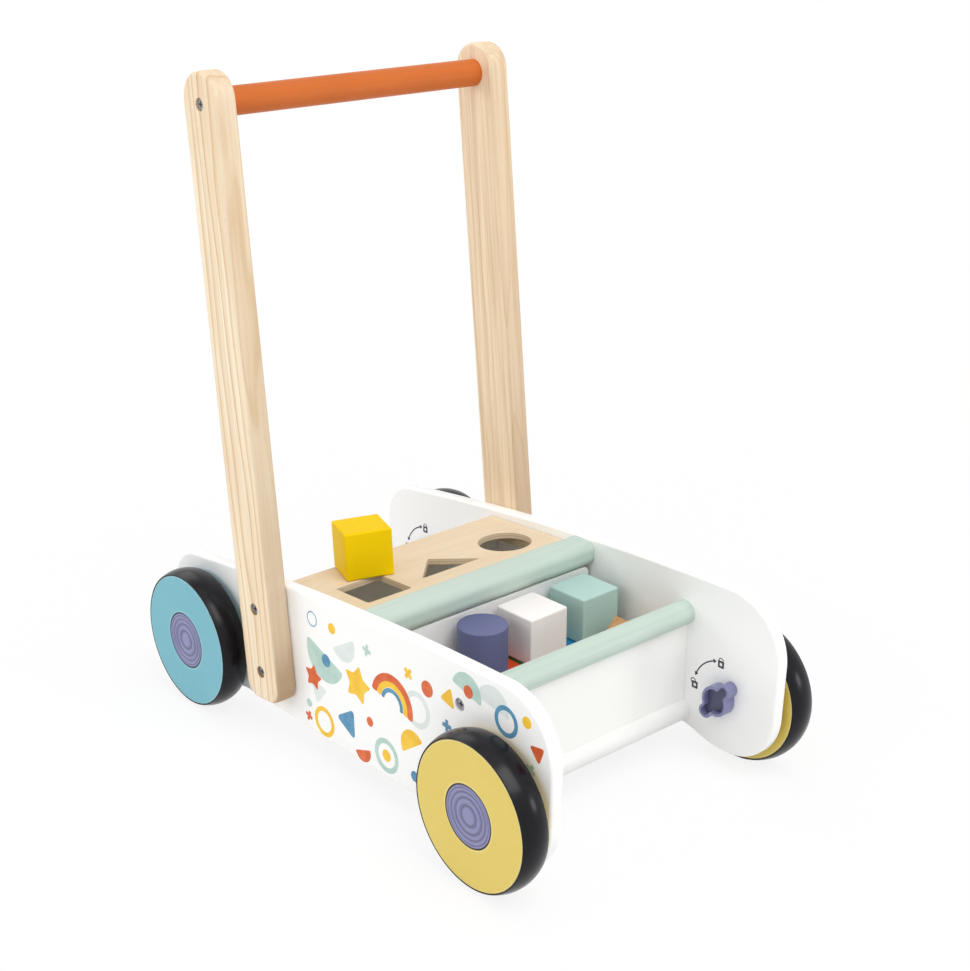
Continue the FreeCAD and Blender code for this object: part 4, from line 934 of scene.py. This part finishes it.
def lay_sign(plane, axle):
    """Flat copies for one knob: two padlocks, an arc and its two arrowheads."""
    copies = []
    for angle, radius, swing in PADLOCKS:
        back, up = from_axle(axle, angle, radius)
        copies.append(lay_copy(motifs["lock_body"], (plane, back, up - LOCK_DROP), LOCK_SIZE, 0))
        back += LOCK_SIZE * math.sin(math.radians(swing))
        copies.append(lay_copy(motifs["shackle"], (plane, back, up + SHACKLE_RISE), SHACKLE_SIZE, -swing))
    copies.append(lay_copy(motifs["sweep"], (plane, *axle), SWEEP_RADIUS, SWEEP_ANGLE - 90))
    for angle, turn in ARROW_HEADS:
        back, up = from_axle(axle, angle, HEAD_RADIUS)
        copies.append(lay_copy(motifs["triangle"], (plane, back, up), HEAD_SIZE, turn))
    return copies


print("the curved arrow is", round(SWEEP_RADIUS * 1000, 1), "mm from its axle")

# %% Print the signs
sign_ink = ink("sign_ink", tone(66, 66, 76), tone(48, 48, 58))
for side, (sign, _, inside) in PANEL_SIDES.items():
    copies = []
    for end in ("front", "rear"):
        low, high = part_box(f"wheel_disc_{end}_{side}")
        middle = (low + high) / 2
        copies += lay_sign(inside, (middle.y, middle.z))
    thicken(copies, f"brake_signs_{side}", sign_ink, -sign * SIGN_HEIGHT)
for motif in motifs.values():
    bpy.data.objects.remove(motif)
print("signs beside four knobs")

# %% [markdown]
# ## Floor and light
# A toy like this is shown on a white sweep with light from all sides, so that every colour is plain and
# shadows are faint. The floor is one large sheet. To a camera ray it is mostly a white glow, and all of
# it further off, where it has to meet the white world. The rest is a matt white that takes the walker's
# shadow. The world is white to camera rays for the same reason, and a soft grey to what it lights.

# %% Floor
FLOOR_SIZE = 30
GLOW_STARTS, GLOW_FULL = 0.4, 1.0       # metres from the walker's middle
GLOW_SHARE = 0.86                       # near the walker


def is_seen_directly(tree):
    """1 for rays that come straight from the camera, from a mirror or through glass."""
    path = add(tree, "LightPath").outputs
    either = reckon(tree, "MAXIMUM", path["Is Camera Ray"], path["Is Glossy Ray"])
    return reckon(tree, "MAXIMUM", either, path["Is Transmission Ray"])


bpy.ops.object.select_all(action="DESELECT")
bpy.ops.mesh.primitive_plane_add(size=FLOOR_SIZE, location=(0, 0, 0))
floor = bpy.context.object
floor.name = "studio_floor"
floor_finish, tree, shader = new_finish("studio_floor")
shader.inputs["Base Color"].default_value = tone(242, 242, 242)
shader.inputs["Roughness"].default_value = 0.9
glow = add(tree, "Emission", {"Color": (1, 1, 1, 1), "Strength": 1.0})
seen = is_seen_directly(tree)
from_middle = add(tree, "VectorMath", {0: metres(tree)}, operation="LENGTH").outputs["Value"]
glow_share = spread(tree, from_middle, GLOW_STARTS, GLOW_FULL, GLOW_SHARE, 1.0)
mixed = add(tree, "MixShader", {0: reckon(tree, "MULTIPLY", seen, glow_share),
                                1: shader.outputs[0], 2: glow.outputs[0]})
tree.links.new(mixed.outputs[0], tree.nodes["Material Output"].inputs["Surface"])
put_finish(floor, floor_finish)
print("floor:", FLOOR_SIZE, "m square")

# %% World
world = bpy.data.worlds.new("studio_air")
bpy.context.scene.world = world
world.use_nodes = True
tree = world.node_tree
soft = tree.nodes["Background"]
soft.inputs["Color"].default_value = (0.97, 0.975, 1.0, 1.0)
soft.inputs["Strength"].default_value = 0.50
white = add(tree, "Background", {"Color": (1, 1, 1, 1), "Strength": 1.0})
mixed = add(tree, "MixShader", {0: is_seen_directly(tree), 1: soft.outputs[0], 2: white.outputs[0]})
tree.links.new(mixed.outputs[0], tree.nodes["World Output"].inputs["Surface"])
print("world:", world.name)

# %% Lamps
AIM = Vector((0, 0, 0.15))
# each lamp's place and size in metres, and its power in watts
SOFT_BOXES = {
    "lamp_above": ((-0.3, -0.3, 2.4), 1.8, 5), "lamp_left": ((-3.7, 0.1, 1.9), 2.4, 25),
    "lamp_rear_left": ((-2.4, 2.2, 1.3), 1.4, 23), "lamp_front": ((0.0, -2.3, 3.7), 2.6, 93),
    "lamp_low": ((1.1, -1.6, 0.5), 0.4, 3.5), "lamp_back": ((0.4, 3.2, 2.8), 2.0, 18)}
for name, (place, size, watts) in SOFT_BOXES.items():
    towards = (AIM - Vector(place)).to_track_quat("-Z", "Y").to_euler()
    bpy.ops.object.light_add(type="AREA", location=place, rotation=towards)
    lamp = bpy.context.object
    lamp.name = name
    lamp.data.size = size
    lamp.data.energy = watts
print(len(SOFT_BOXES), "soft boxes")

# %% The view transform
bpy.context.scene.view_settings.view_transform = "Standard"
